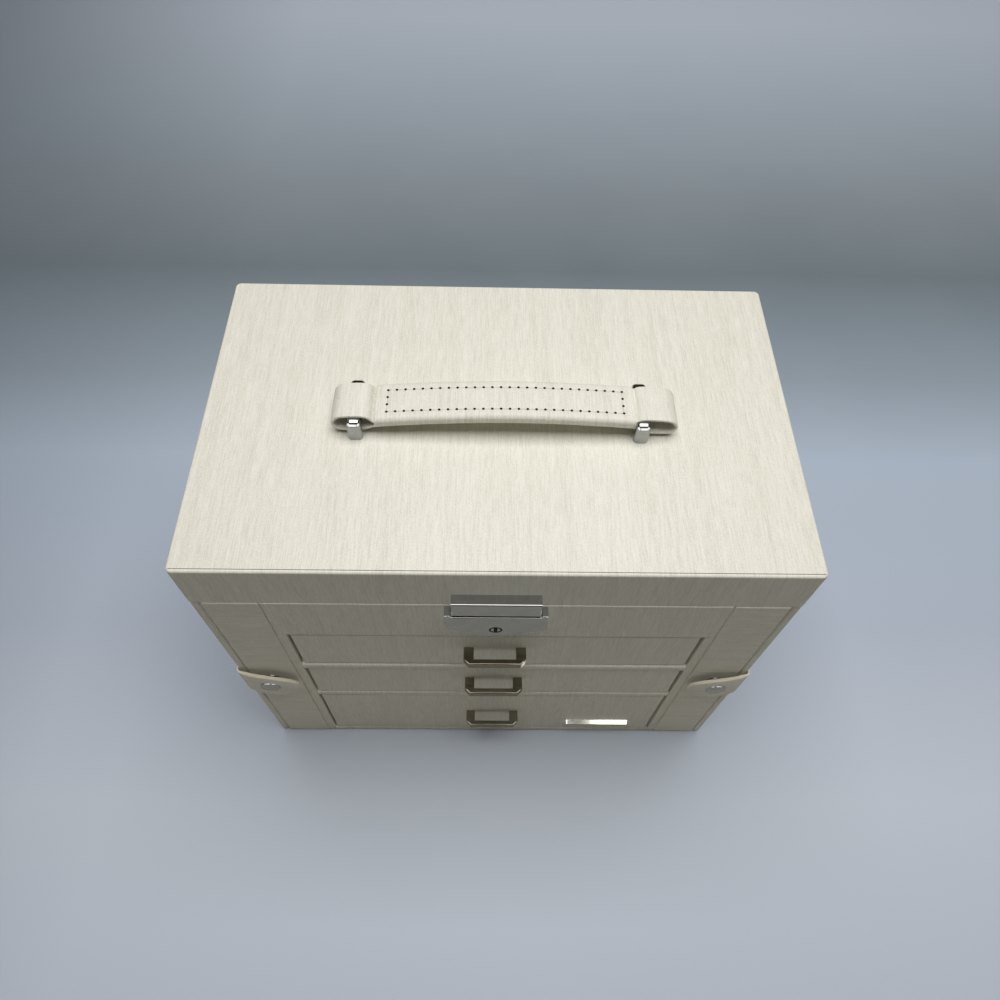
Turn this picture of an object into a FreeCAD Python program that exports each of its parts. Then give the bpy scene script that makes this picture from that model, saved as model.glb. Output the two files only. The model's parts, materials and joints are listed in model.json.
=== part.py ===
import FreeCAD, Part
import math
import os

import Sketcher
from FreeCAD import Vector

# Jewellery box: a hinged lid with a strap handle and a lock, three drawers,
# and a thin door on each side with a necklace bay behind it.
# X runs to the right, Y from the front to the back, Z up from the floor.
# The origin lies under the middle of the box.

# Driving sizes: each is written once, and the spreadsheet holds the same cells
SIZES = {
    # The whole box
    "box_width": 251.0,
    "box_depth": 154.4,
    "box_height": 206.5,
    "lid_height": 26.5,
    "lid_overhang": 1.1,
    # Boards and the joints between them
    "board": 4.1,
    "door_board": 3.6,
    "shelf_board": 5.4,
    "base_board": 4.4,
    "felt": 0.8,
    "velvet": 1.0,
    "joint_gap": 0.3,
    "edge_round": 1.1,
    "soft_edge": 0.6,
    # Layout of the front
    "bay_depth": 24.1,
    "rail_height": 32.6,
    "upper_opening": 36.1,
    "middle_opening": 35.2,
    "drawer_gap": 1.2,
    "drawer_play": 0.6,
    # The tray and the drawers inside
    "ring_roll": 12.0,
    "tray_split": 12.0,
    "insert_wall": 2.0,
    "drawer_wall": 3.0,
    "drawer_back_gap": 6.0,
    "lining_drop": 1.0,
    # The side bays
    "hook_reach": 11.0,
    "hook_wire": 1.0,
    "hook_bar_height": 12.0,
    "hook_drop": 12.0,
    "pocket_height": 42.0,
    "pocket_swell": 12.0,
    # Hinges of the lid and the doors, and their screws
    "leaf": 0.8,
    "knuckle": 1.6,
    "pin": 0.8,
    "pin_play": 0.05,
    "knuckle_gap": 0.1,
    "leaf_reach": 12.0,
    "screw_shank": 1.0,
    "screw_head": 1.8,
    "head_height": 0.5,
    "screw_reach": 2.6,
    "lid_hinge_width": 30.0,
    "lid_hinge_inset": 55.5,
    "door_hinge_height": 24.0,
    "door_hinge_inset": 34.0,
    "stop_lug": 4.0,
    "stop_lug_board": 1.2,
    "stop_lug_drop": 0.15,
    # Doors and flaps
    "flap": 1.7,
    "flap_width": 24.0,
    "flap_rise": 1.1,
    "flap_length": 27.6,
    "flap_root": 16.0,
    "flap_lift": 1.6,
    "door_play": 0.5,
    # Press studs and the bend of a flap
    "snap_cap": 5.0,
    "snap_cap_height": 1.3,
    "snap_post": 2.0,
    "snap_socket": 4.4,
    "snap_socket_low": 1.9,
    "snap_stud": 1.9,
    "snap_base_height": 0.8,
    "snap_stud_height": 0.9,
    "flap_inner": 3.25,
    "flap_swell": 53.0,
    "flap_bend": 3.6,
    # Lid
    "rim_land": 1.3,
    "rim_round": 1.1,
    "corner_round": 2.5,
    "panel_gap": 0.3,
    "pad_board": 6.0,
    "mirror_border": 17.5,
    "mirror_board": 2.0,
    # Handle
    "handle_x": 2.25,
    "handle_y": -2.5,
    "bracket_x": -0.35,
    "bracket_gap": 5.6,
    "bracket_width": 6.3,
    "bracket_length": 25.5,
    "bracket_height": 10.2,
    "bracket_leg": 2.2,
    "bracket_bar": 2.6,
    "bracket_bend": 3.0,
    "bracket_round": 1.9,
    "bracket_sink": 3.0,
    "strap": 1.8,
    "strap_width": 19.6,
    "strap_end": 18.15,
    "loop_low": 2.4,
    "grip_width": 20.2,
    "grip_half": 54.0,
    "grip_board": 4.7,
    "grip_top": 13.2,
    "grip_round": 1.6,
    # Stitches of the grip
    "stitch_inset": 5.1,
    "stitch_row": 5.7,
    "stitch_width": 0.7,
    # Lock
    "lock_x": -0.75,
    "hasp_width": 36.2,
    "hasp_depth": 4.8,
    "hasp_drop": 1.3,
    "hasp_rise": 9.1,
    "lock_width": 42.2,
    "lock_depth": 5.0,
    "lock_face": 1.2,
    "lock_drop": 2.4,
    "lock_side": 11.6,
    "lock_belly": 6.6,
    "lock_ear": 1.3,
    "ear_width": 2.4,
    "keyhole_drop": 14.5,
    "barrel": 2.5,
    "barrel_play": 0.08,
    "tongue_drop": 17.7,
    "tongue_half": 9.4,
    "tongue_leg": 3.4,
    "tongue_back": 1.4,
    "tongue_board": 1.2,
    "lever_reach": 7.6,
    "lever_half": 1.4,
    "notch_depth": 2.0,
    # Drawer pulls and the name plate
    "pull_x": -0.5,
    "pull_width": 28.4,
    "pull_reach": 8.2,
    "pull_leg": 4.6,
    "pull_bar": 2.6,
    "pull_height": 5.0,
    "pull_chamfer": 2.5,
    "pull_round": 0.5,
    "pull_upper_drop": 13.8,
    "pull_middle_drop": 12.3,
    "pull_lower_drop": 26.3,
    "pull_screw": 1.4,
    "pull_screw_head": 2.7,
    "pull_head_height": 1.3,
    "plate_inset": 12.9,
    "plate_rise": 14.8,
    "plate_width": 36.0,
    "plate_height": 6.2,
    "plate_board": 2.6,
}

doc = FreeCAD.newDocument("jewellery_box")
sheet = doc.addObject("Spreadsheet::Sheet", "Sizes")
for row, (name, value) in enumerate(SIZES.items(), 1):
    sheet.set("A%d" % row, name)
    sheet.set("B%d" % row, str(value))
    sheet.setAlias("B%d" % row, name)


# A length that knows both its value and the formula it is bound with
class Length:
    def __init__(self, value, formula):
        self.value = value
        self.formula = formula

    def join(self, other, sign, value):
        return Length(value, "(%s %s %s)" % (self.formula, sign, other.formula))

    def __add__(self, other):
        other = length(other)
        return self.join(other, "+", self.value + other.value)

    def __sub__(self, other):
        other = length(other)
        return self.join(other, "-", self.value - other.value)

    def __mul__(self, other):
        other = length(other)
        return self.join(other, "*", self.value * other.value)

    def __truediv__(self, other):
        other = length(other)
        return self.join(other, "/", self.value / other.value)

    def __radd__(self, other):
        return length(other) + self

    def __rsub__(self, other):
        return length(other) - self

    def __rmul__(self, other):
        return length(other) * self

    def __neg__(self):
        return length(0) - self


def length(value):
    if isinstance(value, Length):
        return value
    return Length(float(value), "%.4f" % value)


class SheetSizes:
    """the sheet's cells by name: s.board is the thickness of a board"""

    def __getattr__(self, name):
        return Length(SIZES[name], "Sizes." + name)


s = SheetSizes()


def bind(thing, name, size):
    thing.setExpression(name, length(size).formula)


# Planes that many pieces share
front = -s.box_depth / 2
back = s.box_depth / 2
floor_top = s.felt + s.base_board
lid_bottom = s.box_height - s.lid_height
case_top = lid_bottom - s.joint_gap
case_side = s.box_width / 2 - s.lid_overhang - s.door_board - s.joint_gap
wall_out = case_side - s.bay_depth
wall_in = wall_out - s.board
rail_bottom = case_top - s.rail_height
upper_shelf_top = rail_bottom - s.upper_opening
lower_shelf_top = upper_shelf_top - s.shelf_board - s.middle_opening
inner_front = front + s.board
inner_back = back - s.board


nodes = {}


def keep(name, thing):
    """name a finished sub-part after the piece it is"""
    thing.Label = name
    nodes[name] = thing
    return thing


def edge_names(feature, test):
    """the names of the edges of a feature that pass a test"""
    names = []
    for number, edge in enumerate(feature.Shape.Edges, 1):
        if test(edge):
            names.append("Edge%d" % number)
    return names


def near(a, b):
    return abs(a - b) < 0.01


def round_edges(body, test, radius, name="rounding"):
    """round every edge of a body's last feature that passes the test"""
    doc.recompute()
    base = body.Tip
    names = edge_names(base, test)
    if not names:
        raise ValueError("no edge to round on " + body.Name)
    fillet = body.newObject("PartDesign::Fillet", body.Name + "_" + name)
    fillet.Base = (base, names)
    bind(fillet, "Radius", radius)
    body.Tip = fillet
    return fillet


def move(thing, x, y, z):
    bind(thing, "Placement.Base.x", x)
    bind(thing, "Placement.Base.y", y)
    bind(thing, "Placement.Base.z", z)


def board_body(name, x, y, z):
    """a rectangular board between three pairs of planes"""
    body = doc.addObject("PartDesign::Body", name)
    block = body.newObject("PartDesign::AdditiveBox", name + "_block")
    bind(block, "Length", x[1] - x[0])
    bind(block, "Width", y[1] - y[0])
    bind(block, "Height", z[1] - z[0])
    move(body, x[0], y[0], z[0])
    return body


def on_low_y(edge):
    """edges of the face that looks at the viewer, in a board's own frame"""
    return near(edge.BoundBox.YMax, 0) and near(edge.BoundBox.YMin, 0)


def cut_box(body, name, x, y, z):
    """take a block away from a body, its planes given in the body's own frame"""
    block = body.newObject("PartDesign::SubtractiveBox", body.Name + "_" + name)
    bind(block, "Length", x[1] - x[0])
    bind(block, "Width", y[1] - y[0])
    bind(block, "Height", z[1] - z[0])
    move(block, x[0], y[0], z[0])
    body.Tip = block
    return block


TURNS = {
    "x": FreeCAD.Rotation(Vector(0, 1, 0), 90),
    "y": FreeCAD.Rotation(Vector(1, 0, 0), -90),
    "z": FreeCAD.Rotation(),
}


def cut_bore(body, name, start, reach, radius):
    """drill a round hole towards the back from a start point, in the body's own frame"""
    bore = body.newObject("PartDesign::SubtractiveCylinder", body.Name + "_" + name)
    bore.Placement = FreeCAD.Placement(Vector(0, 0, 0), TURNS["y"])
    bind(bore, "Radius", radius)
    bind(bore, "Height", reach)
    move(bore, *start)
    body.Tip = bore
    return bore


def plain_box(name, x, y, z):
    box = doc.addObject("Part::Box", name)
    bind(box, "Length", x[1] - x[0])
    bind(box, "Width", y[1] - y[0])
    bind(box, "Height", z[1] - z[0])
    move(box, x[0], y[0], z[0])
    return box


def rod(name, axis, span, centre, radius):
    """a round rod between two planes; centre gives its other two coordinates"""
    result = doc.addObject("Part::Cylinder", name)
    result.Placement = FreeCAD.Placement(Vector(0, 0, 0), TURNS[axis])
    bind(result, "Radius", radius)
    bind(result, "Height", span[1] - span[0])
    start = list(centre)
    start.insert("xyz".index(axis), span[0])
    move(result, *start)
    return result


def centred(middle, width):
    middle = length(middle)
    return (middle - width / 2, middle + width / 2)


def side_span(sign, near_plane, far_plane):
    """two planes measured out from the middle, on the right or mirrored to the left"""
    near_plane = length(near_plane)
    far_plane = length(far_plane)
    return (near_plane, far_plane) if sign > 0 else (-far_plane, -near_plane)


def bow(half, rise):
    """the radius of a shallow arc from its half chord and its rise"""
    return (half * half + rise * rise) / (rise * 2)


def together(name, things):
    """pieces of one kind that share a node, each a solid of its own"""
    group = doc.addObject("Part::Compound", name)
    group.Links = things
    return group


def cut(name, base, tool):
    result = doc.addObject("Part::Cut", name)
    result.Base = base
    result.Tool = tool
    return result


def common(name, base, tool):
    result = doc.addObject("Part::Common", name)
    result.Base = base
    result.Tool = tool
    return result


def fuse(name, things):
    result = doc.addObject("Part::MultiFuse", name)
    result.Shapes = things
    return result


def arc_middle(start, end, radius):
    """the middle of the arc that bulges to the right on the way from start to end"""
    chord = end - start
    half = chord.Length / 2
    side = Vector(chord.y, -chord.x, 0).normalize()
    rise = abs(radius) - math.sqrt(max(radius * radius - half * half, 0))
    return (start + end) * 0.5 + side * math.copysign(rise, radius)


def outline(body, role, name, corners):
    """a closed sketch; a corner with a third entry starts an arc of that radius

    A positive radius bulges outwards when the corners run anticlockwise.
    """
    sketch = body.newObject("Sketcher::SketchObject", body.Name + "_" + name)
    plane = [item for item in body.Origin.OriginFeatures if item.Role == role][0]
    sketch.AttachmentSupport = (plane, "")
    sketch.MapMode = "FlatFace"
    points = [Vector(length(c[0]).value, length(c[1]).value, 0) for c in corners]
    count = len(corners)
    ends = []
    for number, corner in enumerate(corners):
        here = points[number]
        there = points[(number + 1) % count]
        if len(corner) == 2:
            sketch.addGeometry(Part.LineSegment(here, there))
            ends.append((1, 2))
            continue
        middle = arc_middle(here, there, length(corner[2]).value)
        sketch.addGeometry(Part.Arc(here, middle, there))
        ends.append((1, 2) if sketch.getPoint(number, 1).isEqual(here, 0.001) else (2, 1))
    for number in range(count):
        after = (number + 1) % count
        sketch.addConstraint(Sketcher.Constraint(
            "Coincident", number, ends[number][1], after, ends[after][0]))
    for number, corner in enumerate(corners):
        start = ends[number][0]
        for kind, size in (("DistanceX", corner[0]), ("DistanceY", corner[1])):
            value = length(size).value
            rule = sketch.addConstraint(Sketcher.Constraint(kind, -1, 1, number, start, value))
            if isinstance(size, Length):
                sketch.setExpression("Constraints[%d]" % rule, size.formula)
        if len(corner) == 3:
            radius = length(corner[2])
            rule = sketch.addConstraint(Sketcher.Constraint("Radius", number, abs(radius.value)))
            if isinstance(corner[2], Length) and radius.value > 0:
                sketch.setExpression("Constraints[%d]" % rule, radius.formula)
    return sketch


def extrusion(name, role, corners, reach, start=(0, 0, 0), holes=()):
    """a body padded from an outline on one of its origin planes

    XY pads up along Z, XZ pads towards the front, YZ pads along X.
    """
    body = doc.addObject("PartDesign::Body", name)
    sketch = outline(body, role, "outline", corners)
    pad = body.newObject("PartDesign::Pad", name + "_pad")
    pad.Profile = sketch
    bind(pad, "Length", reach)
    for number, hole in enumerate(holes):
        inner = outline(body, role, "hole%d" % number, hole)
        pocket = body.newObject("PartDesign::Pocket", name + "_pocket%d" % number)
        pocket.Profile = inner
        pocket.Type = "ThroughAll"
        pocket.Reversed = True
        body.Tip = pocket
    move(body, *start)
    return body


# Case of the box: felt, base, back, inner walls, shelves and rail
def build_case():
    deep = (front, back)
    behind = (inner_front, inner_back)
    keep("base_felt", board_body(
        "base_felt", (-wall_out, wall_out), (front + s.board, back - s.board), (length(0), s.felt)))
    base = board_body("base_board", (-case_side, case_side), deep, (s.felt, floor_top))
    reach = case_side * 2
    cut_box(base, "left_notch", (length(0), s.bay_depth), (length(0), s.board),
            (length(0), s.base_board))
    cut_box(base, "right_notch", (reach - s.bay_depth, reach), (length(0), s.board),
            (length(0), s.base_board))
    round_edges(base, on_low_y, s.soft_edge)
    keep("base_board", base)
    keep("back_panel", board_body(
        "back_panel", (-case_side, case_side), (inner_back, back), (floor_top, case_top)))

    wall_height = case_top - floor_top
    notch = wall_height - s.rail_height
    depth = inner_back - front
    for side, low in (("left", -wall_out), ("right", wall_in)):
        wall = extrusion(
            "inner_wall_" + side, "YZ_Plane",
            [(0, 0), (depth, 0), (depth, wall_height), (s.board, wall_height),
             (s.board, notch), (0, notch)],
            s.board, (low, front, floor_top))
        round_edges(wall, lambda edge: near(edge.BoundBox.YMax, 0) and edge.BoundBox.ZLength > 1,
                    s.soft_edge)
        keep("inner_wall_" + side, wall)

    for name, top in (("shelf_upper", upper_shelf_top), ("shelf_lower", lower_shelf_top)):
        shelf = board_body(name, (-wall_in, wall_in), (front, inner_back), (top - s.shelf_board, top))
        round_edges(shelf, lambda edge: on_low_y(edge) and edge.BoundBox.XLength > 1,
                    s.edge_round * 1.5)
        keep(name, shelf)

    keep("tray_floor", board_body(
        "tray_floor", (-wall_in, wall_in), behind, (rail_bottom, rail_bottom + s.board)))
    rail = board_body("front_rail", (-wall_out, wall_out), (front, inner_front),
                      (rail_bottom, case_top))
    round_edges(rail, on_low_y, s.soft_edge)
    keep("front_rail", rail)

    side_tops = []
    for side, x in (("left", (-case_side, -wall_out)), ("right", (wall_out, case_side))):
        panel = board_body("side_front_" + side, x, (front, inner_front), (s.felt, case_top))
        round_edges(panel, on_low_y, s.edge_round)
        keep("side_front_" + side, panel)
        side_tops.append(plain_box("side_top_" + side, x, behind, (case_top - s.board, case_top)))
    keep("side_tops", together("side_tops", side_tops))


def lined_box(name, x, y, z, splits=()):
    """a velvet insert: a floor, four walls and upright dividers

    Each divider is a pair of X planes and a pair of Y planes.
    """
    floor = (z[0], z[0] + s.velvet)
    above = (z[0] + s.velvet, z[1])
    inner_y = (y[0] + s.velvet, y[1] - s.velvet)
    parts = [
        plain_box(name + "_floor", x, y, floor),
        plain_box(name + "_front", x, (y[0], y[0] + s.velvet), above),
        plain_box(name + "_back", x, (y[1] - s.velvet, y[1]), above),
        plain_box(name + "_left", (x[0], x[0] + s.velvet), inner_y, above),
        plain_box(name + "_right", (x[1] - s.velvet, x[1]), inner_y, above),
    ]
    for number, (split_x, split_y) in enumerate(splits):
        parts.append(plain_box(name + "_split%d" % number, split_x, split_y, above))
    return keep(name, together(name, parts))


def ring_rolls(name, x, y, base_z):
    """padded rolls side by side, with a slot between each pair for a ring's band"""
    count = int((y[1].value - y[0].value) // s.ring_roll.value)
    pitch = (y[1] - y[0]) / count
    parts = []
    for number in range(count):
        body = doc.addObject("PartDesign::Body", name + "_roll%d" % number)
        block = body.newObject("PartDesign::AdditiveBox", body.Name + "_block")
        bind(block, "Length", x[1] - x[0])
        bind(block, "Width", pitch - s.joint_gap)
        bind(block, "Height", s.ring_roll)
        move(body, x[0], y[0] + pitch * number, base_z)
        round_edges(body, lambda edge: edge.BoundBox.XLength > 1
                    and near(edge.BoundBox.ZMax, s.ring_roll.value), pitch * 0.42)
        parts.append(body)
    return keep(name, together(name, parts))


# Tray under the lid: ring rolls on the left, open places on the right
def build_tray():
    low = rail_bottom + s.board
    x = (-wall_in, wall_in)
    y = (inner_front, inner_back)
    middle = x[0] + s.ring_roll * 8
    inner_y = (y[0] + s.velvet, y[1] - s.velvet)
    inner_right = x[1] - s.velvet
    lined_box("tray_lining", x, y, (low, case_top - s.lining_drop), [
        (centred(middle, s.insert_wall), inner_y),
        ((middle + s.insert_wall / 2, inner_right), centred(length(-s.tray_split.value), s.insert_wall)),
        (centred((middle + inner_right) / 2, s.insert_wall),
         (y[0] + s.velvet, length(-s.tray_split.value) - s.insert_wall / 2)),
    ])
    ring_rolls("ring_rolls", (x[0] + s.velvet, middle - s.insert_wall / 2), inner_y, low + s.velvet)


# Side bays for necklaces, each with a lining, a row of hooks and a pocket
HOOKS = 6


def build_bay(side, sign):
    def across(a, b):
        """two distances out from the inner wall, as planes in order"""
        return side_span(sign, wall_out + a, wall_out + b)

    y = (inner_front, inner_back)
    z = (floor_top, case_top - s.board)
    depth = s.bay_depth - s.joint_gap
    inner_y = (y[0] + s.velvet, y[1] - s.velvet)
    keep("bay_lining_" + side, together("bay_lining_" + side, [
        plain_box("bay_wall_" + side, across(0, s.velvet), y, z),
        plain_box("bay_front_" + side, across(s.velvet, depth), (y[0], y[0] + s.velvet), z),
        plain_box("bay_back_" + side, across(s.velvet, depth), (y[1] - s.velvet, y[1]), z),
        plain_box("bay_floor_" + side, across(s.velvet, depth), inner_y, (z[0], z[0] + s.velvet)),
        plain_box("bay_top_" + side, across(s.velvet, depth), inner_y, (z[1] - s.velvet, z[1])),
    ]))

    bar_top = z[1] - s.velvet - s.hook_drop
    bar = plain_box("hook_bar_" + side, across(s.velvet, s.velvet * 3),
                    (inner_y[0] + s.insert_wall, inner_y[1] - s.insert_wall),
                    (bar_top - s.hook_bar_height, bar_top))
    hooks = [bar]
    pitch = (inner_y[1] - inner_y[0]) / HOOKS
    hook_z = bar_top - s.hook_bar_height / 2
    for number in range(HOOKS):
        y_hook = inner_y[0] + pitch * (number + 0.5)
        hooks.append(hook(side, sign, number, wall_out + s.velvet * 3, y_hook, hook_z))
    return hooks


def hook(side, sign, number, root, y, z):
    """one wire hook: a stem out of the bar and an upturned tip"""
    name = "hook_%s_%d" % (side, number)
    bend = (root + s.hook_reach - s.hook_wire) * sign
    end = doc.addObject("Part::Sphere", name + "_end")
    bind(end, "Radius", s.hook_wire)
    move(end, bend, y, z + s.hook_reach / 2)
    return fuse(name, [
        rod(name + "_stem", "x", side_span(sign, root, root + s.hook_reach), (y, z), s.hook_wire),
        rod(name + "_tip", "z", (z, z + s.hook_reach / 2), (bend, y), s.hook_wire),
        end,
    ])


# A gathered pocket low in each bay, its front swelling outwards
def build_pockets():
    parts = []
    low = floor_top + s.velvet
    depth = inner_back - inner_front - s.velvet * 2
    swell = s.pocket_swell
    radius = bow(depth / 2, swell)
    inset = s.velvet * radius / (depth / 2)
    for side, sign in (("left", -1), ("right", 1)):
        root = (wall_out + s.velvet) * sign
        body = doc.addObject("PartDesign::Body", "bay_pocket_" + side)
        if sign > 0:
            corners = [(0, 0), (0, depth, -radius)]
            inner = [(0, inset), (0, depth - inset, -(radius - s.velvet))]
        else:
            corners = [(0, 0, radius * -1), (0, depth)]
            inner = [(0, inset, (radius - s.velvet) * -1), (0, depth - inset)]
        sketch = outline(body, "XY_Plane", "outline", corners)
        pad = body.newObject("PartDesign::Pad", body.Name + "_pad")
        pad.Profile = sketch
        bind(pad, "Length", s.pocket_height)
        hollow = outline(body, "XY_Plane", "hollow", inner)
        pocket = body.newObject("PartDesign::Pocket", body.Name + "_pocket")
        pocket.Profile = hollow
        pocket.Type = "ThroughAll"
        pocket.Reversed = True
        body.Tip = pocket
        move(body, root, inner_front + s.velvet, low)
        parts.append(body)
    keep("bay_pockets", together("bay_pockets", parts))


# Two-leaf hinges: sizes shared by the lid and the doors
hinge_back = back + s.knuckle + s.knuckle_gap
hinge_side = case_side + s.joint_gap / 2
lid_hinge_place = s.box_width / 2 - s.lid_hinge_inset


def back_screw(name, x, z):
    """a screw through a leaf on the back of the box"""
    face = back + s.leaf
    return fuse(name, [
        rod(name + "_shank", "y", (face - s.screw_reach, face), (x, z), s.screw_shank),
        rod(name + "_head", "y", (face, face + s.head_height), (x, z), s.screw_head),
    ])


def door_screw(name, sign, y, z):
    """a flush screw through a leaf let into the inner face of a door"""
    face = case_side + s.joint_gap
    return fuse(name, [
        rod(name + "_shank", "x", side_span(sign, face, face + s.screw_reach), (y, z), s.screw_shank),
        rod(name + "_head", "x", side_span(sign, face, face + s.head_height), (y, z), s.screw_head),
    ])


def thirds(middle, width):
    """the three stretches of a hinge's knuckle, with a little play between them"""
    low = length(middle) - width / 2
    step = width / 3
    return [(low + step * number + s.knuckle_gap, low + step * (number + 1) - s.knuckle_gap)
            for number in range(3)]


# Lid hinges: the case leaf hangs below the joint, the lid leaf stands above it
def build_lid_hinges():
    case_parts = []
    lid_parts = []
    case_screws = []
    lid_screws = []
    centre = (hinge_back, lid_bottom)
    leaf_y = (back, back + s.leaf)
    bar_y = (back, hinge_back - s.pin)
    clear = s.knuckle + s.knuckle_gap * 2
    for side, middle in (("left", -lid_hinge_place), ("right", lid_hinge_place)):
        name = "lid_hinge_" + side
        left, mid, right = thirds(middle, s.lid_hinge_width)
        wide = centred(middle, s.lid_hinge_width)
        case_leaf = fuse(name + "_case", [
            plain_box(name + "_case_leaf", wide, leaf_y, (lid_bottom - s.leaf_reach, lid_bottom - clear)),
            plain_box(name + "_case_tab", mid, leaf_y, (lid_bottom - clear, lid_bottom - s.pin)),
            rod(name + "_case_knuckle", "x", mid, centre, s.knuckle),
        ])
        case_parts.append(cut(name + "_case_bored", case_leaf,
                              rod(name + "_case_bore", "x", wide, centre, s.pin + s.pin_play)))
        solids = [plain_box(name + "_lid_leaf", wide, leaf_y,
                            (lid_bottom + clear, lid_bottom + s.leaf_reach))]
        for number, reach in enumerate((left, right)):
            end = "%s_%d" % (name, number)
            solids.append(plain_box(end + "_tab", reach, leaf_y, (lid_bottom + s.pin, lid_bottom + clear)))
            solids.append(rod(end + "_knuckle", "x", reach, centre, s.knuckle))
            solids.append(plain_box(end + "_lug", reach, (hinge_back + s.pin, hinge_back + s.stop_lug),
                                    (lid_bottom - s.stop_lug_drop,
                                     lid_bottom - s.stop_lug_drop + s.stop_lug_board)))
        lid_leaf = fuse(name + "_lid", solids)
        lid_pin = rod(name + "_pin", "x", wide, centre, s.pin)
        lid_parts.append(cut(name + "_lid_bored", lid_leaf, lid_pin))
        lid_parts.append(lid_pin)
        for number, across in enumerate((-0.3, 0.3)):
            x = length(middle) + s.lid_hinge_width * across
            end = "%s_screw%d" % (name, number)
            case_screws.append(back_screw(end + "_case", x, lid_bottom - s.leaf_reach * 0.6))
            lid_screws.append(back_screw(end + "_lid", x, lid_bottom + s.leaf_reach * 0.6))
    return case_parts, lid_parts, case_screws, lid_screws


# Door hinges: one leaf on the back of the box, one let into the door
def build_door_hinges(side, sign):
    case_parts = []
    door_parts = []
    case_screws = []
    door_screws = []
    mortises = []
    centre = (hinge_side * sign, hinge_back)
    clear = s.knuckle + s.knuckle_gap * 2
    inner_x = case_side + s.joint_gap
    for level, middle in (("low", floor_top + s.door_hinge_inset),
                          ("high", case_top - s.door_hinge_inset)):
        name = "door_hinge_%s_%s" % (side, level)
        low, mid, high = thirds(middle, s.door_hinge_height)
        tall = centred(middle, s.door_hinge_height)
        case_leaf = fuse(name + "_case", [
            plain_box(name + "_case_leaf", side_span(sign, hinge_side - s.leaf_reach, hinge_side - clear),
                      (back, back + s.leaf), tall),
            plain_box(name + "_case_tab", side_span(sign, hinge_side - clear, hinge_side - s.pin),
                      (back, back + s.leaf), mid),
            rod(name + "_case_knuckle", "z", mid, centre, s.knuckle),
        ])
        case_parts.append(cut(name + "_case_bored", case_leaf,
                              rod(name + "_case_bore", "z", tall, centre, s.pin + s.pin_play)))
        leaf_x = side_span(sign, inner_x, inner_x + s.leaf)
        mortise_y = (back - s.leaf_reach, back)
        mortises.append(plain_box(name + "_mortise", leaf_x, mortise_y, tall))
        solids = [plain_box(name + "_door_leaf", leaf_x, mortise_y, tall)]
        for number, reach in enumerate((low, high)):
            end = "%s_%d" % (name, number)
            solids.append(plain_box(end + "_tab", leaf_x, (back, hinge_back), reach))
            solids.append(rod(end + "_knuckle", "z", reach, centre, s.knuckle))
        door_leaf = fuse(name + "_door", solids)
        door_pin = rod(name + "_pin", "z", tall, centre, s.pin)
        screws = []
        for number, up in enumerate((-0.3, 0.3)):
            z = middle + s.door_hinge_height * up
            end = "%s_screw%d" % (name, number)
            case_screws.append(back_screw(end + "_case", (hinge_side - s.leaf_reach * 0.6) * sign, z))
            screws.append(door_screw(end + "_door", sign, back - s.leaf_reach * 0.5, z))
        cutters = together(name + "_door_holes", screws + [door_pin])
        door_parts.append(cut(name + "_door_bored", door_leaf, cutters))
        door_parts.append(door_pin)
        door_screws.extend(screws)
    return case_parts, door_parts, case_screws, door_screws, mortises


# Doors: a thin board on each side with a velvet panel on its inner face
door_out = s.box_width / 2 - s.lid_overhang
flap_height = (s.felt + lid_bottom) / 2 + s.flap_rise


def build_door(side, sign, mortises, screws):
    x = side_span(sign, case_side + s.joint_gap, door_out)
    z = (s.felt + s.door_play, lid_bottom - s.door_play)
    panel = board_body("door_board_" + side, x, (front, back), z)
    outer = 0 if sign < 0 else s.door_board.value
    round_edges(panel, lambda edge: on_low_y(edge) or (
        near(edge.BoundBox.XMin, outer) and near(edge.BoundBox.XMax, outer)), s.edge_round)
    holes = together("door_cutters_" + side, mortises + screws)
    keep("side_door_" + side, cut("side_door_" + side, panel, holes))
    lining_x = side_span(sign, case_side + s.joint_gap - s.velvet, case_side + s.joint_gap)
    inset = s.velvet + s.joint_gap
    keep("door_lining_" + side, plain_box(
        "door_lining_" + side, lining_x, (inner_front + inset, inner_back - inset),
        (floor_top + inset, case_top - s.board - inset)))
    root_x = side_span(sign, door_out, door_out + s.flap)
    root = board_body("flap_root_" + side, root_x,
                      (front + s.flap_lift, front + s.flap_root), centred(flap_height, s.flap_width))
    keep("flap_root_" + side, root)


# Snap flaps: each bends round the front edge of its door over a press stud


def mirrored(corners):
    """the same outline seen in a mirror, still anticlockwise"""
    turned = []
    for number in range(len(corners) - 1, -1, -1):
        here = corners[number]
        before = corners[number - 1]
        turned.append((-length(here[0]), here[1]) + tuple(before[2:]))
    return turned


def build_flap(side, sign):
    tip = door_out + s.flap - s.flap_length
    centre = tip + s.flap_width / 2
    corners = [
        (tip, front - s.flap * 2, s.flap_swell),
        (door_out - 1.5, front - 3.1, s.flap_bend),
        (door_out + s.flap, front + 0.6),
        (door_out, front + 0.6),
        (door_out - 1.9, front - 1.4, -(s.flap_swell - s.flap)),
        (tip, front - s.flap),
    ]
    if sign < 0:
        corners = mirrored(corners)
    tall = centred(flap_height, s.flap_width * 1.02)
    band = extrusion("flap_band_" + side, "XY_Plane", corners, tall[1] - tall[0],
                     (length(0), length(0), tall[0]))
    deep = (front - s.flap * 4, front + s.flap)
    shape = fuse("flap_shape_" + side, [
        plain_box("flap_strip_" + side, side_span(sign, centre, door_out + s.flap * 2), deep,
                  centred(flap_height, s.flap_width)),
        rod("flap_tip_" + side, "y", deep, (centre * sign, flap_height), s.flap_width / 2),
    ])
    leather = common("flap_leather_" + side, band, shape)
    metal = snap_parts(side, centre * sign)
    keep("snap_flap_" + side, cut("snap_flap_" + side, leather, metal))
    keep("snap_cap_" + side, metal)


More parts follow.
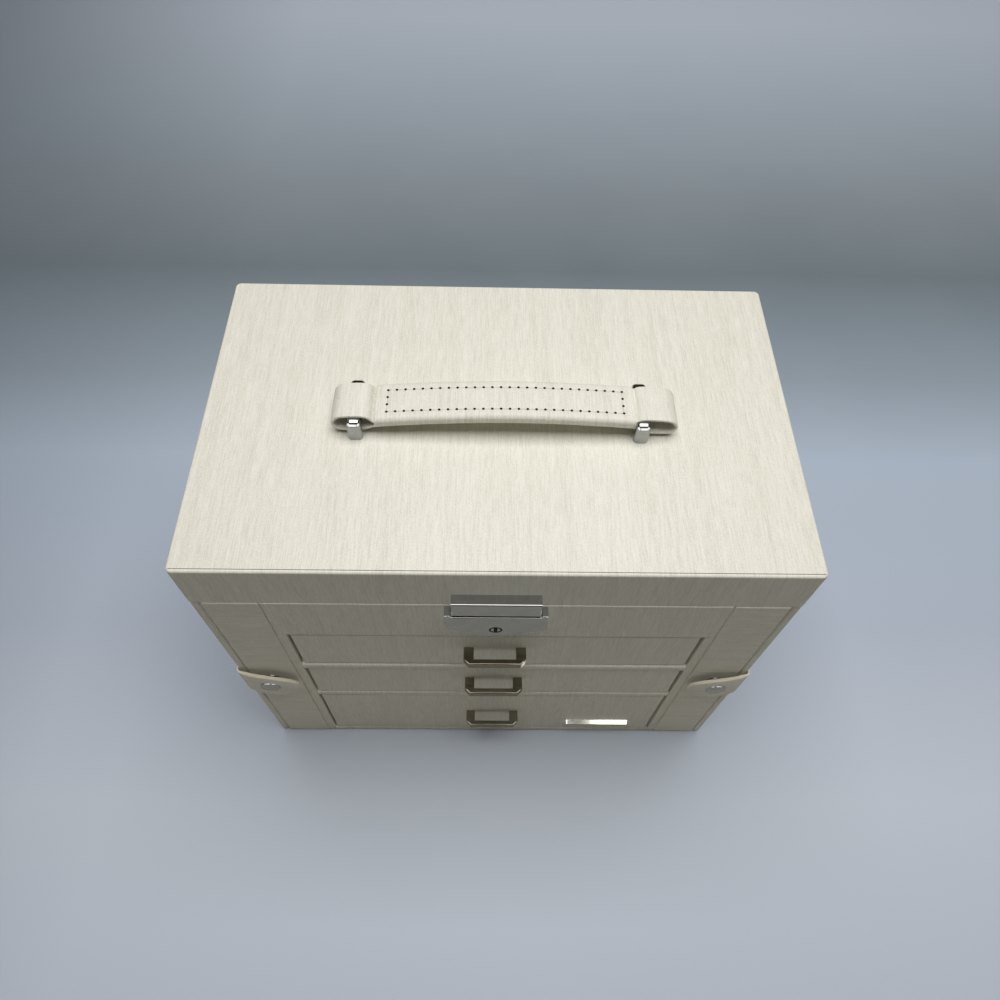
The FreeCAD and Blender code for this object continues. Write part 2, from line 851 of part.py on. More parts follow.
def snap_parts(side, x):
    """the cap, post and socket of a press stud, carried by the flap"""
    z = flap_height
    inner = front - s.flap_inner
    outer = inner - s.flap
    base = outer + s.joint_gap
    cap = board_cap("snap_cap_body_" + side, x, z, (base - s.snap_cap_height, base))
    return fuse("snap_cap_" + side, [
        cap,
        rod("snap_post_" + side, "y", (base, inner), (x, z), s.snap_post),
        rod("snap_socket_" + side, "y", (inner - s.joint_gap, front - s.snap_socket_low), (x, z),
            s.snap_socket),
    ])


def board_cap(name, x, z, y):
    """a low round cap with its front rim rounded"""
    body = doc.addObject("PartDesign::Body", name)
    disc = body.newObject("PartDesign::AdditiveCylinder", name + "_disc")
    disc.Placement = FreeCAD.Placement(Vector(0, 0, 0), TURNS["y"])
    bind(disc, "Radius", s.snap_cap)
    bind(disc, "Height", y[1] - y[0])
    move(body, x, y[0], z)
    round_edges(body, lambda edge: near(edge.BoundBox.YMax, 0) and edge.BoundBox.XLength > 1,
                s.snap_cap_height * 0.7)
    return body


def snap_stud_parts(side, sign):
    """the stud on the front of the side bay, just short of the flap's socket"""
    x = (door_out + s.flap - s.flap_length + s.flap_width / 2) * sign
    z = flap_height
    top = front - s.snap_base_height
    return fuse("snap_stud_" + side, [
        rod("snap_base_" + side, "y", (top, front), (x, z), s.snap_socket),
        rod("snap_ball_" + side, "y", (top - s.snap_stud_height, top), (x, z), s.snap_stud),
    ])


# Lid: a top board let into a rim, with a velvet pad and a mirror below it
lid_side = s.box_width / 2
panel_bottom = s.box_height - s.board


def upright_corner(edge):
    return edge.BoundBox.ZLength > 1


def build_lid(screws):
    x = (-lid_side, lid_side)
    y = (front, back)
    rim = board_body("lid_rim", x, y, (lid_bottom, s.box_height))
    round_edges(rim, upright_corner, s.corner_round, "corners")
    high = s.lid_height.value
    round_edges(rim, lambda edge: near(edge.BoundBox.ZMin, high), s.rim_round, "top")
    cut_box(rim, "hollow", (s.board, s.box_width - s.board), (s.board, s.box_depth - s.board),
            (length(-1), s.lid_height + 1))
    cut_box(rim, "rebate", (s.rim_land, s.box_width - s.rim_land), (s.rim_land, s.box_depth - s.rim_land),
            (s.lid_height - s.board, s.lid_height + 1))
    keep("lid_rim", cut("lid_rim", rim, together("lid_rim_screws", screws)))

    inset = s.rim_land + s.panel_gap
    panel = board_body("lid_panel", (x[0] + inset, x[1] - inset), (y[0] + inset, y[1] - inset),
                       (panel_bottom, s.box_height))
    round_edges(panel, upright_corner, s.rim_round, "corners")
    thick = s.board.value
    round_edges(panel, lambda edge: near(edge.BoundBox.ZMin, thick), s.soft_edge, "top")
    bracket_at = s.grip_half + s.bracket_gap
    for side, place in (("left", -bracket_at), ("right", bracket_at)):
        for end, slot_y in (("front", s.handle_y - s.bracket_length / 2),
                            ("back", s.handle_y + s.bracket_length / 2 - s.bracket_leg)):
            slot_x = centred(s.bracket_x + place, s.bracket_width)
            shift_x = x[0] + inset
            shift_y = y[0] + inset
            cut_box(panel, "slot_%s_%s" % (side, end),
                    (slot_x[0] - shift_x, slot_x[1] - shift_x),
                    (slot_y - shift_y, slot_y + s.bracket_leg - shift_y),
                    (s.board - s.bracket_sink, s.board + 1))
    keep("lid_panel", panel)

    pad_x = (x[0] + s.board, x[1] - s.board)
    pad_y = (y[0] + s.board, y[1] - s.board)
    pad_z = (panel_bottom - s.pad_board, panel_bottom)
    pad = board_body("lid_pad", pad_x, pad_y, pad_z)
    edge = s.mirror_border
    cut_box(pad, "recess", (edge, pad_x[1] - pad_x[0] - edge), (edge, pad_y[1] - pad_y[0] - edge),
            (length(-1), s.mirror_board))
    keep("lid_pad", pad)
    keep("lid_mirror", plain_box(
        "lid_mirror", (pad_x[0] + edge, pad_x[1] - edge), (pad_y[0] + edge, pad_y[1] - edge),
        (pad_z[0], pad_z[0] + s.mirror_board)))


# Handle: two metal staples in the lid hold a strap with a padded grip


def build_brackets():
    parts = []
    half = s.bracket_length / 2
    bend = s.bracket_bend
    inner = s.bracket_bend / 3
    leg = half - s.bracket_leg
    under = s.bracket_height - s.bracket_bar
    corners = [
        (-half, -s.bracket_sink), (-leg, -s.bracket_sink), (-leg, under - inner, -inner),
        (-leg + inner, under), (leg - inner, under, -inner), (leg, under - inner),
        (leg, -s.bracket_sink), (half, -s.bracket_sink),
        (half, s.bracket_height - bend, bend), (half - bend, s.bracket_height),
        (bend - half, s.bracket_height, bend), (-half, s.bracket_height - bend),
    ]
    bracket_at = s.grip_half + s.bracket_gap
    for side, place in (("left", -bracket_at), ("right", bracket_at)):
        staple = extrusion("bracket_" + side, "YZ_Plane", corners, s.bracket_width,
                           (s.bracket_x + place - s.bracket_width / 2, s.handle_y, s.box_height))
        limit = half.value
        rise = s.bracket_height.value

        def outside(edge):
            box = edge.BoundBox
            middle = edge.CenterOfMass
            flat = box.XLength < 0.01
            return flat and (abs(middle.y) > limit - 1.0 or middle.z > rise - 1.0)

        round_edges(staple, outside, s.bracket_round)
        parts.append(staple)
    return keep("handle_brackets", together("handle_brackets", parts))


def build_strap():
    """two flattened loops joined by a thin core that runs through the grip"""
    low = s.loop_low
    high = s.bracket_height + s.knuckle_gap + s.strap
    outer = (high - low) / 2
    inner = outer - s.strap
    end = s.grip_half + s.strap_end - outer
    neck = s.grip_half - 4.5
    core_low = low + s.strap * 1.8
    core_high = high - s.strap * 1.55
    core_middle = s.grip_top - s.strap
    under = bow(neck, core_middle - s.strap - core_low)
    over = bow(neck, core_middle - core_high)
    middle = low + outer
    corners = [
        (-neck, core_low, -under), (neck, core_low), (s.grip_half + 0.8, low),
        (end, low, outer), (end + outer, middle, outer), (end, high), (s.grip_half + 0.4, high),
        (neck, core_high, over), (-neck, core_high), (-s.grip_half - 0.4, high),
        (-end, high, outer), (-end - outer, middle, outer), (-end, low), (-s.grip_half - 0.8, low),
    ]
    wedge_low = low + s.strap * 2.6
    wedge_high = wedge_low + s.strap / 2
    hole = [
        (s.grip_half - 3.0, wedge_low), (s.grip_half + 1.4, low + s.strap),
        (end, low + s.strap, inner), (end + inner, middle, inner), (end, high - s.strap),
        (s.grip_half + 0.6, high - s.strap), (s.grip_half - 3.5, wedge_high),
    ]
    body = extrusion("handle_strap", "XZ_Plane", corners, s.strap_width,
                     (s.handle_x, s.handle_y + s.strap_width / 2, s.box_height), [hole, mirrored(hole)])
    across = s.strap_width.value

    def rim(edge):
        box = edge.BoundBox
        flat = box.YLength < 0.01
        on_side = near(box.YMax, 0) or near(box.YMin, -across)
        return flat and on_side and abs(edge.CenterOfMass.x) > s.grip_half.value - 1.0

    round_edges(body, rim, s.strap * 0.3)
    return keep("handle_strap", body)


STITCHES = 27
SIDE_STITCHES = 3


def build_grip():
    """the padded grip, its long edges rolled, with a row of stitches near each edge"""
    ends = s.grip_half
    low_end = s.loop_low + s.strap * 1.33
    high_end = s.bracket_height + s.knuckle_gap + s.strap
    under = bow(ends - 3.0, s.grip_top - s.grip_board - low_end)
    over = bow(ends, s.grip_top - high_end)
    corners = [
        (3.0 - ends, low_end, -under), (ends - 3.0, low_end),
        (ends, high_end, over), (-ends, high_end),
    ]
    body = extrusion("grip_body", "XZ_Plane", corners, s.grip_width,
                     (s.handle_x, s.handle_y + s.grip_width / 2, s.box_height))
    across = s.grip_width.value

    def long_edge(edge):
        box = edge.BoundBox
        return box.YLength < 0.01 and box.XLength > 20

    round_edges(body, long_edge, s.grip_round)
    thread = build_stitches(over)
    cutters = together("grip_cutters", [nodes["handle_strap"], thread])
    keep("handle_grip", cut("handle_grip", body, cutters))
    keep("handle_stitching", thread)


def build_stitches(over):
    """straight stitches in a long rectangle, half sunk in the top of the grip"""
    parts = []
    stitch_half = s.grip_half - s.stitch_inset
    pitch = stitch_half * 2 / STITCHES
    crown = s.box_height + s.grip_top
    for row_name, y in (("front", s.handle_y - s.stitch_row), ("back", s.handle_y + s.stitch_row)):
        for number in range(STITCHES):
            x = pitch * (number + 0.5) - stitch_half
            drop = over - over * math.sqrt(1 - (x.value / over.value) ** 2)
            z = crown - drop
            parts.append(plain_box(
                "stitch_%s_%d" % (row_name, number), centred(s.handle_x + x, pitch * 0.7),
                centred(y, s.stitch_width), centred(z, s.stitch_width)))
    step = s.stitch_row * 2 / SIDE_STITCHES
    drop = over - over * math.sqrt(1 - (stitch_half.value / over.value) ** 2)
    for end, x in (("left", -stitch_half), ("right", stitch_half)):
        for number in range(SIDE_STITCHES):
            y = s.handle_y - s.stitch_row + step * (number + 0.5)
            parts.append(plain_box(
                "stitch_%s_%d" % (end, number), centred(s.handle_x + x, s.stitch_width),
                centred(y, step * 0.7), centred(crown - drop, s.stitch_width)))
    return together("handle_stitching", parts)


# Lock: a hasp on the lid drops a forked tongue into the case on the rail
hasp_low = lid_bottom - s.hasp_drop
hasp_high = lid_bottom + s.hasp_rise
lock_high = lid_bottom - s.lock_drop
lock_shoulder = lock_high - s.lock_side
lock_low = lock_shoulder - s.lock_belly
keyhole_height = lid_bottom - s.keyhole_drop
tongue_low = lid_bottom - s.tongue_drop




def build_hasp():
    plate = board_body("hasp_plate", centred(s.lock_x, s.hasp_width), (front - s.hasp_depth, front),
                       (hasp_low, hasp_high))
    round_edges(plate, on_low_y, s.soft_edge)
    leg_in = s.tongue_half - s.tongue_leg
    top = hasp_low + 2.0
    bridge = hasp_low - 1.0
    notch_low = keyhole_height - s.lever_half - 0.2
    notch_high = keyhole_height + 5.1
    corners = [
        (-s.tongue_half, tongue_low), (-leg_in, tongue_low), (-leg_in, bridge), (leg_in, bridge),
        (leg_in, notch_high), (leg_in + s.notch_depth, notch_high),
        (leg_in + s.notch_depth, notch_low), (leg_in, notch_low), (leg_in, tongue_low),
        (s.tongue_half, tongue_low), (s.tongue_half, top), (-s.tongue_half, top),
    ]
    fork = extrusion("hasp_fork", "XZ_Plane", corners, s.tongue_board,
                     (s.lock_x, front - s.tongue_back, length(0)))
    keep("lock_hasp", fuse("lock_hasp", [plate, fork]))


def build_lock_case():
    half = s.lock_width / 2
    ear = half - s.ear_width
    rise = lock_shoulder - lock_low
    corners = [
        (-half, lock_shoulder, bow(half, rise)), (half, lock_shoulder),
        (half, lock_high + s.lock_ear), (ear, lock_high + s.lock_ear), (ear, lock_high),
        (-ear, lock_high), (-ear, lock_high + s.lock_ear), (-half, lock_high + s.lock_ear),
    ]
    case = extrusion("lock_case", "XZ_Plane", corners, s.lock_depth, (s.lock_x, front, length(0)))
    face = -s.lock_depth.value
    shoulder = lock_shoulder.value
    round_edges(case, lambda edge: edge.BoundBox.YLength > 1 and near(edge.BoundBox.ZMin, shoulder),
                s.soft_edge * 2, "corners")
    round_edges(case, lambda edge: near(edge.BoundBox.YMax, face), s.soft_edge / 2)
    room = s.tongue_half + 0.6
    cut_box(case, "room", (-room, room), (s.lock_face - s.lock_depth, length(1)),
            (lock_low + 2.2, lock_high - 3.0))
    slot = s.tongue_half + s.joint_gap
    cut_box(case, "slot", (-slot, slot), (s.lock_face - s.lock_depth, -s.tongue_back + s.joint_gap),
            (lock_high - 4.0, lock_high + 1.0))
    cut_bore(case, "keyhole", (length(0), -s.lock_depth - 1, keyhole_height), s.lock_face + 2,
             s.barrel + s.barrel_play)
    keep("lock_case", case)


def build_lock_barrel():
    """the round plug with its key slot, and the lever that turns with it"""
    body = doc.addObject("PartDesign::Body", "lock_barrel")
    plug = body.newObject("PartDesign::AdditiveCylinder", "barrel_plug")
    plug.Placement = FreeCAD.Placement(Vector(0, 0, 0), TURNS["y"])
    bind(plug, "Radius", s.barrel)
    bind(plug, "Height", s.lock_depth - s.tongue_back)
    lever = body.newObject("PartDesign::AdditiveBox", "barrel_lever")
    lever_y = (s.lock_depth - s.tongue_back - s.tongue_board + 0.2, s.lock_depth - s.tongue_back)
    bind(lever, "Length", s.lever_half * 2)
    bind(lever, "Width", lever_y[1] - lever_y[0])
    bind(lever, "Height", s.lever_reach)
    move(lever, -s.lever_half, lever_y[0], 0)
    body.Tip = lever
    cut_box(body, "slot", centred(0, s.barrel * 0.55), (length(-1), s.lock_face),
            centred(0, s.barrel * 1.3))
    move(body, s.lock_x, front - s.lock_depth, keyhole_height)
    keep("lock_barrel", body)


# Drawers: a wrapped front board, a tray behind it, a velvet insert and a pull
drawer_side = wall_in - s.drawer_gap


def build_pull(name, top):
    half = s.pull_width / 2
    leg = half - s.pull_leg
    corners = [
        (-half, 0), (-half, s.pull_chamfer - s.pull_reach), (s.pull_chamfer - half, -s.pull_reach),
        (half - s.pull_chamfer, -s.pull_reach), (half, s.pull_chamfer - s.pull_reach), (half, 0),
        (leg, 0), (leg, s.pull_bar - s.pull_reach), (-leg, s.pull_bar - s.pull_reach), (-leg, 0),
    ]
    body = extrusion("pull_body_" + name, "XY_Plane", corners, s.pull_height,
                     (s.pull_x, front, top - s.pull_height))
    high = s.pull_height.value

    def rims(edge):
        box = edge.BoundBox
        level = near(box.ZMin, high) or near(box.ZMax, 0)
        return level and box.YMin < -0.1

    round_edges(body, rims, s.pull_round)
    screws = []
    for end, x in (("left", s.pull_leg / 2 - half), ("right", half - s.pull_leg / 2)):
        centre = (s.pull_x + x, top - s.pull_height / 2)
        label = "pull_screw_%s_%s" % (name, end)
        screws.append(fuse(label, [
            rod(label + "_shank", "y", (front, inner_front), centre, s.pull_screw),
            rod(label + "_head", "y", (inner_front - s.pull_head_height, inner_front), centre,
                s.pull_screw_head),
        ]))
    keep("drawer_pull_" + name, together("drawer_pull_" + name, [body] + screws))
    return screws


def build_drawer(name, z, pull_drop, splits):
    low = z[0] + s.drawer_play
    high = z[1] - s.drawer_play
    x = (-drawer_side, drawer_side)
    panel = board_body("drawer_panel_" + name, x, (front, inner_front), (low, high))
    round_edges(panel, on_low_y, s.edge_round)
    screws = build_pull(name, z[1] - pull_drop)
    keep("drawer_front_" + name, cut(
        "drawer_front_" + name, panel, together("drawer_bores_" + name, screws)))

    wall = s.drawer_wall
    tray_x = (x[0] + s.joint_gap, x[1] - s.joint_gap)
    tray_y = (inner_front, inner_back - s.drawer_back_gap)
    tray_z = (low, high - s.board)
    above = (low + wall, tray_z[1])
    keep("drawer_tray_" + name, together("drawer_tray_" + name, [
        plain_box("tray_bottom_" + name, tray_x, tray_y, (low, low + wall)),
        plain_box("tray_left_" + name, (tray_x[0], tray_x[0] + wall), tray_y, above),
        plain_box("tray_right_" + name, (tray_x[1] - wall, tray_x[1]), tray_y, above),
        plain_box("tray_back_" + name, (tray_x[0] + wall, tray_x[1] - wall),
                  (tray_y[1] - wall, tray_y[1]), above),
    ]))
    insert_x = (tray_x[0] + wall, tray_x[1] - wall)
    insert_y = (tray_y[0], tray_y[1] - wall)
    planes = []
    for kind, share in splits:
        inner_y = (insert_y[0] + s.velvet, insert_y[1] - s.velvet)
        inner_x = (insert_x[0] + s.velvet, insert_x[1] - s.velvet)
        if kind == "across":
            middle = insert_x[0] + (insert_x[1] - insert_x[0]) * share
            planes.append((centred(middle, s.insert_wall), inner_y))
        else:
            middle = insert_y[0] + (insert_y[1] - insert_y[0]) * share
            planes.append((inner_x, centred(middle, s.insert_wall)))
    lined_box("drawer_lining_" + name, insert_x, insert_y, (low + wall, tray_z[1] - s.lining_drop),
              planes)


def build_name_plate():
    right = drawer_side - s.plate_inset
    middle = floor_top + s.drawer_play + s.plate_rise
    plate = board_body("name_plate", (right - s.plate_width, right), (front - s.plate_board, front),
                       centred(middle, s.plate_height))
    round_edges(plate, lambda edge: edge.BoundBox.YLength > 0.1, s.plate_height * 0.3, "corners")
    round_edges(plate, on_low_y, s.plate_height * 0.28)
    keep("name_plate", plate)


# Everything in place
build_case()
build_tray()
build_pockets()
lid_case_leaves, lid_leaves, lid_case_screws, lid_screws = build_lid_hinges()
hooks = []
case_leaves = list(lid_case_leaves)
case_screws = list(lid_case_screws)
studs = []
for side, sign in (("left", -1), ("right", 1)):
    hooks.extend(build_bay(side, sign))
    leaves, door_leaves, leaf_screws, door_screws, mortises = build_door_hinges(side, sign)
    case_leaves.extend(leaves)
    case_screws.extend(leaf_screws)
    build_door(side, sign, mortises, door_screws)
    keep("door_hinges_" + side, together("door_hinges_" + side, door_leaves + door_screws))
    build_flap(side, sign)
    studs.append(snap_stud_parts(side, sign))
keep("necklace_hooks", together("necklace_hooks", hooks))
keep("snap_studs", together("snap_studs", studs))
keep("hinge_screws", together("hinge_screws", case_screws))
keep("case_hinge_leaves", cut(
    "case_hinge_leaves", together("case_leaves", case_leaves), nodes["hinge_screws"]))
keep("back_panel", cut("back_panel_bored", nodes["back_panel"], nodes["hinge_screws"]))
bored_leaves = cut("lid_leaves_bored", together("lid_leaves", lid_leaves),
                   together("lid_leaf_screws", lid_screws))
keep("lid_hinges", together("lid_hinges", [bored_leaves] + lid_screws))
build_lid(lid_screws)
build_brackets()
build_strap()
build_grip()
build_hasp()
build_lock_case()
build_lock_barrel()
build_drawer("upper", (upper_shelf_top, rail_bottom), s.pull_upper_drop,
             [("across", 0.3333), ("across", 0.6667)])
build_drawer("middle", (lower_shelf_top, upper_shelf_top - s.shelf_board), s.pull_middle_drop,
             [("across", 0.5)])
build_drawer("lower", (floor_top, lower_shelf_top - s.shelf_board), s.pull_lower_drop, [])
build_name_plate()

doc.recompute()
for item in doc.Objects:
    if "Invalid" in item.State or "Error" in item.State:
        raise RuntimeError("%s failed" % item.Name)
for name, thing in nodes.items():
    if thing.Shape.isNull() or not thing.Shape.isValid():
        raise RuntimeError("%s has no valid shape" % name)

os.makedirs("parts", exist_ok=True)
for name, thing in nodes.items():
    thing.Shape.exportStep(os.path.join("parts", name + ".step"))
    print(name, len(thing.Shape.Solids), round(thing.Shape.Volume, 1))
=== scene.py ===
# %% [markdown]
# # Jewellery box with handle
#
# A box of boards wrapped in pale, wood-grained leather, with three drawers, two thin side
# doors on snap flaps, a mirror in the lid, a padded strap handle and a small lock.
#
# The construction model already gives every board, hinge and screw in its right place. This lesson dresses
# it: it rounds and shades what is hard, models what is soft again, and gives each piece a procedural
# finish. Lengths are in metres in the scene, and in millimetres inside the modelling helpers, where small
# numbers are easier to read.

import json
import math

import bmesh
import bpy
from mathutils import Matrix, Vector

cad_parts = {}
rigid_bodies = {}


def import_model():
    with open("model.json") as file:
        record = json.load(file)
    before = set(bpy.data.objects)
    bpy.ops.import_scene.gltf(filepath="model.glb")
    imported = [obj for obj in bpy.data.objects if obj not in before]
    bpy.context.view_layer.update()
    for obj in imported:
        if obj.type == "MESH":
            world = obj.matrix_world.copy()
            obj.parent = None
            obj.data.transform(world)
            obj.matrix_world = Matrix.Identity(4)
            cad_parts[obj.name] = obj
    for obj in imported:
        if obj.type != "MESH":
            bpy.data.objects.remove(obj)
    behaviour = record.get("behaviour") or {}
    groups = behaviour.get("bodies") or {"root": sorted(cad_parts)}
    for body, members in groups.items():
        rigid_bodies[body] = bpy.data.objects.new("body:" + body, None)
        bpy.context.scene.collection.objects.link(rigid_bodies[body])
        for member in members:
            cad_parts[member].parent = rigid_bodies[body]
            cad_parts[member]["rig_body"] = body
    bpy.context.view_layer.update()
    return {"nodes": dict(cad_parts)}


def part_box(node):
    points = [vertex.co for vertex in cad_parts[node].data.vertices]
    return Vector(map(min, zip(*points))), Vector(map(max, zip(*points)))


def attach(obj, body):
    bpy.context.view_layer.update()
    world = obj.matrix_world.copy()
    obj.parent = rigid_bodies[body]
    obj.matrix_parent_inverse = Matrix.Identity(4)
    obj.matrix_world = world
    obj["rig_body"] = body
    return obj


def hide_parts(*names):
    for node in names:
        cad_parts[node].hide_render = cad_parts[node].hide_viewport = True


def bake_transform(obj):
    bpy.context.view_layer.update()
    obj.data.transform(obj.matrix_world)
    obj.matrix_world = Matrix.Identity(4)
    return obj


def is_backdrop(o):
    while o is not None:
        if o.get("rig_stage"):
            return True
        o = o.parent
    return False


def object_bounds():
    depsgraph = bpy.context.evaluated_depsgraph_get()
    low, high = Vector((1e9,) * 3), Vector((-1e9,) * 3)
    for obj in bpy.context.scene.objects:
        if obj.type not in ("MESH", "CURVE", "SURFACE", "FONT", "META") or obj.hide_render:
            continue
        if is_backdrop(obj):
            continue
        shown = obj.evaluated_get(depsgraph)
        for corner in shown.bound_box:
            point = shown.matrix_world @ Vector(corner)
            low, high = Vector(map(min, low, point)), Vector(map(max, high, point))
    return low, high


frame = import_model()
nodes = frame["nodes"]
scene = bpy.context.scene

# %% [markdown]
# ## Camera
#
# The picture was taken from above the box's front edge with a wide lens, so upright edges lean
# outwards. A camera's place and turn fit in one matrix: three columns say where its right, its
# up and its back point, and the fourth says where it stands. Measured values go straight in.

# %% Place the camera
RIGHT = Vector((0.999743, -0.001391, 0.022625))
UP = Vector((-0.010839, 0.847271, 0.531051))
BACK = Vector((-0.019908, -0.531159, 0.847038))
STAND = Vector((-0.005998, -0.209483, 0.470543))

camera_data = bpy.data.cameras.new("camera")
camera_data.lens = 28.157
camera_data.sensor_width = 36.0
camera = bpy.data.objects.new("camera", camera_data)
turn = Matrix((RIGHT, UP, BACK)).transposed().to_4x4()
camera.matrix_world = Matrix.Translation(STAND) @ turn
scene.collection.objects.link(camera)
scene.camera = camera
print("camera looks down by", round(math.degrees(math.asin(BACK.z))), "degrees")

# %% [markdown]
# ## Light
#
# One wide soft lamp hangs high above, a little to the right. Level surfaces face it and come
# out as bright as their colour is written. Upright surfaces hardly see it: the pale floor
# lights them from below, which is why they are dim and their shadows rise.

# %% Hang the lamp
lamp_data = bpy.data.lights.new("overhead_softbox", "AREA")
lamp_data.shape = "RECTANGLE"
lamp_data.size = 1.5
lamp_data.size_y = 1.2
lamp_data.energy = 28.6
lamp_data.color = (1.0, 0.99, 0.97)
lamp = bpy.data.objects.new("overhead_softbox", lamp_data)
lamp.location = (0.12, 0.09, 1.7)
scene.collection.objects.link(lamp)
scene.view_settings.view_transform = "Standard"

# %% [markdown]
# ## Colours and node helpers
#
# Colours are easiest to compare as the 0 to 255 numbers of a picture, but shaders calculate
# with linear light, so one helper converts them. The others add a node, wire it and set its
# inputs by name, which keeps each finish below down to a few readable lines.


# %% Define the node helpers
def tone(red, green, blue):
    """a picture colour as the linear colour that a shader takes"""
    linear = []
    for value in (red, green, blue):
        share = value / 255.0
        linear.append(share / 12.92 if share <= 0.04045 else ((share + 0.055) / 1.055) ** 2.4)
    return (*linear, 1.0)


def add_node(tree, kind, **inputs):
    """a new node, with inputs set by name or number; a socket given as value is wired in"""
    node = tree.nodes.new(kind)
    for key, value in inputs.items():
        name = key.replace("_", " ")
        socket = node.inputs[int(key[1:])] if key[1:].isdigit() else node.inputs[name]
        if isinstance(value, bpy.types.NodeSocket):
            tree.links.new(value, socket)
        else:
            socket.default_value = value
    return node


def calculate(tree, operation, first, second=0.0, third=0.0):
    """the result of one sum on sockets or numbers"""
    node = add_node(tree, "ShaderNodeMath", i0=first, i1=second, i2=third)
    node.operation = operation
    return node.outputs[0]


def stretched_noise(tree, vector, scale, detail=3.0, roughness=0.55, distortion=0.0):
    """noise whose cells measure 1/scale metres along each axis"""
    mapping = add_node(tree, "ShaderNodeMapping", Vector=vector, Scale=scale)
    noise = add_node(tree, "ShaderNodeTexNoise", Vector=mapping.outputs[0], Scale=1.0,
                     Detail=detail, Roughness=roughness, Distortion=distortion)
    return noise.outputs["Fac"]


def ramp(tree, factor, stops):
    """a colour for each share of the factor"""
    node = tree.nodes.new("ShaderNodeValToRGB")
    tree.links.new(factor, node.inputs[0])
    elements = node.color_ramp.elements
    while len(elements) < len(stops):
        elements.new(0.5)
    for element, (place, colour) in zip(elements, stops):
        element.position = place
        element.color = colour
    return node.outputs[0]


def between(tree, factor, low, high):
    """a number that goes from low to high as a 0 to 1 factor rises"""
    node = add_node(tree, "ShaderNodeMapRange", Value=factor)
    node.inputs["To Min"].default_value = low
    node.inputs["To Max"].default_value = high
    return node.outputs[0]


def blended_colour(tree, factor, first, second):
    """one colour where the factor is 0 and another where it is 1"""
    node = tree.nodes.new("ShaderNodeMix")
    node.data_type = "RGBA"
    for socket, value in ((node.inputs[0], factor), (node.inputs[6], first),
                          (node.inputs[7], second)):
        if isinstance(value, bpy.types.NodeSocket):
            tree.links.new(value, socket)
        else:
            socket.default_value = value
    return node.outputs[2]


def relief(tree, height, distance, strength=1.0, under=None):
    """surface relief as deep as distance, in metres, laid over an earlier relief if given"""
    node = add_node(tree, "ShaderNodeBump", Strength=strength, Distance=distance, Height=height)
    if under is not None:
        tree.links.new(under, node.inputs["Normal"])
    return node.outputs[0]


def new_finish(name):
    """an empty material with its shader and its object coordinates"""
    material = bpy.data.materials.new(name)
    material.use_nodes = True
    tree = material.node_tree
    shader = tree.nodes["Principled BSDF"]
    place = tree.nodes.new("ShaderNodeTexCoord")
    return material, tree, shader, place


# %% [markdown]
# ## Floor and surroundings
#
# The box stands on a plain grey-blue sheet. A colour ramp along the floor's own depth paints shade on it a
# little behind the box and brighter light again far away, and a blend paints shade towards the left, all
# for the camera only; the light that bounces off the floor is a shade warmer, as it is from a large room.
# Polished metal needs something to mirror: glossy rays see a dim brown room with two bright windows ahead,
# left and right of whoever holds the camera. Everything else gets only a little light from there.

# %% Lay the floor
floor_finish, tree, shader, place = new_finish("floor_sheet")
depth = add_node(tree, "ShaderNodeSeparateXYZ", Vector=place.outputs["Object"])
share = add_node(tree, "ShaderNodeMapRange", Value=depth.outputs["Y"])
share.inputs["From Min"].default_value = -0.25
share.inputs["From Max"].default_value = 0.85
# Painted light: the ramp's dark band behind the box is painted shade, and its brighter far end is painted
# light.
sheet_colour_with_painted_shade = ramp(tree, share.outputs[0], [
    (0.0, tone(184, 192, 205)), (0.12, tone(195, 203, 215)), (0.22, tone(178, 188, 204)),
    (0.34, tone(177, 190, 208)), (0.41, tone(147, 159, 172)), (0.52, tone(110, 122, 129)),
    (0.62, tone(136, 146, 155)), (0.74, tone(162, 173, 185)), (0.90, tone(192, 202, 216)),
    (1.0, tone(199, 208, 222)),
])
cloudy = stretched_noise(tree, place.outputs["Object"], (9.0, 9.0, 9.0), detail=2.0)
shader.inputs["Roughness"].default_value = 0.75
shader.inputs["Specular IOR Level"].default_value = 0.2
floor_tint_and_painted_shade = blended_colour(tree, between(tree, cloudy, 0.0, 0.10), sheet_colour_with_painted_shade,
                         tone(205, 212, 222))
# Painted shade: the floor's colour is blended darker towards the left.
painted_left_shade = add_node(tree, "ShaderNodeMapRange", Value=depth.outputs["X"])
painted_left_shade.inputs["From Min"].default_value = -0.22
painted_left_shade.inputs["From Max"].default_value = -0.55
painted_left_shade.inputs["To Max"].default_value = 0.6
floor_tint_and_painted_shade = blended_colour(tree, painted_left_shade.outputs[0], floor_tint_and_painted_shade, tone(88, 98, 108))
floor_ray = tree.nodes.new("ShaderNodeLightPath")
lit_or_seen = blended_colour(tree, floor_ray.outputs["Is Camera Ray"], tone(176, 175, 169),
                             floor_tint_and_painted_shade)
tree.links.new(lit_or_seen, shader.inputs["Base Color"])

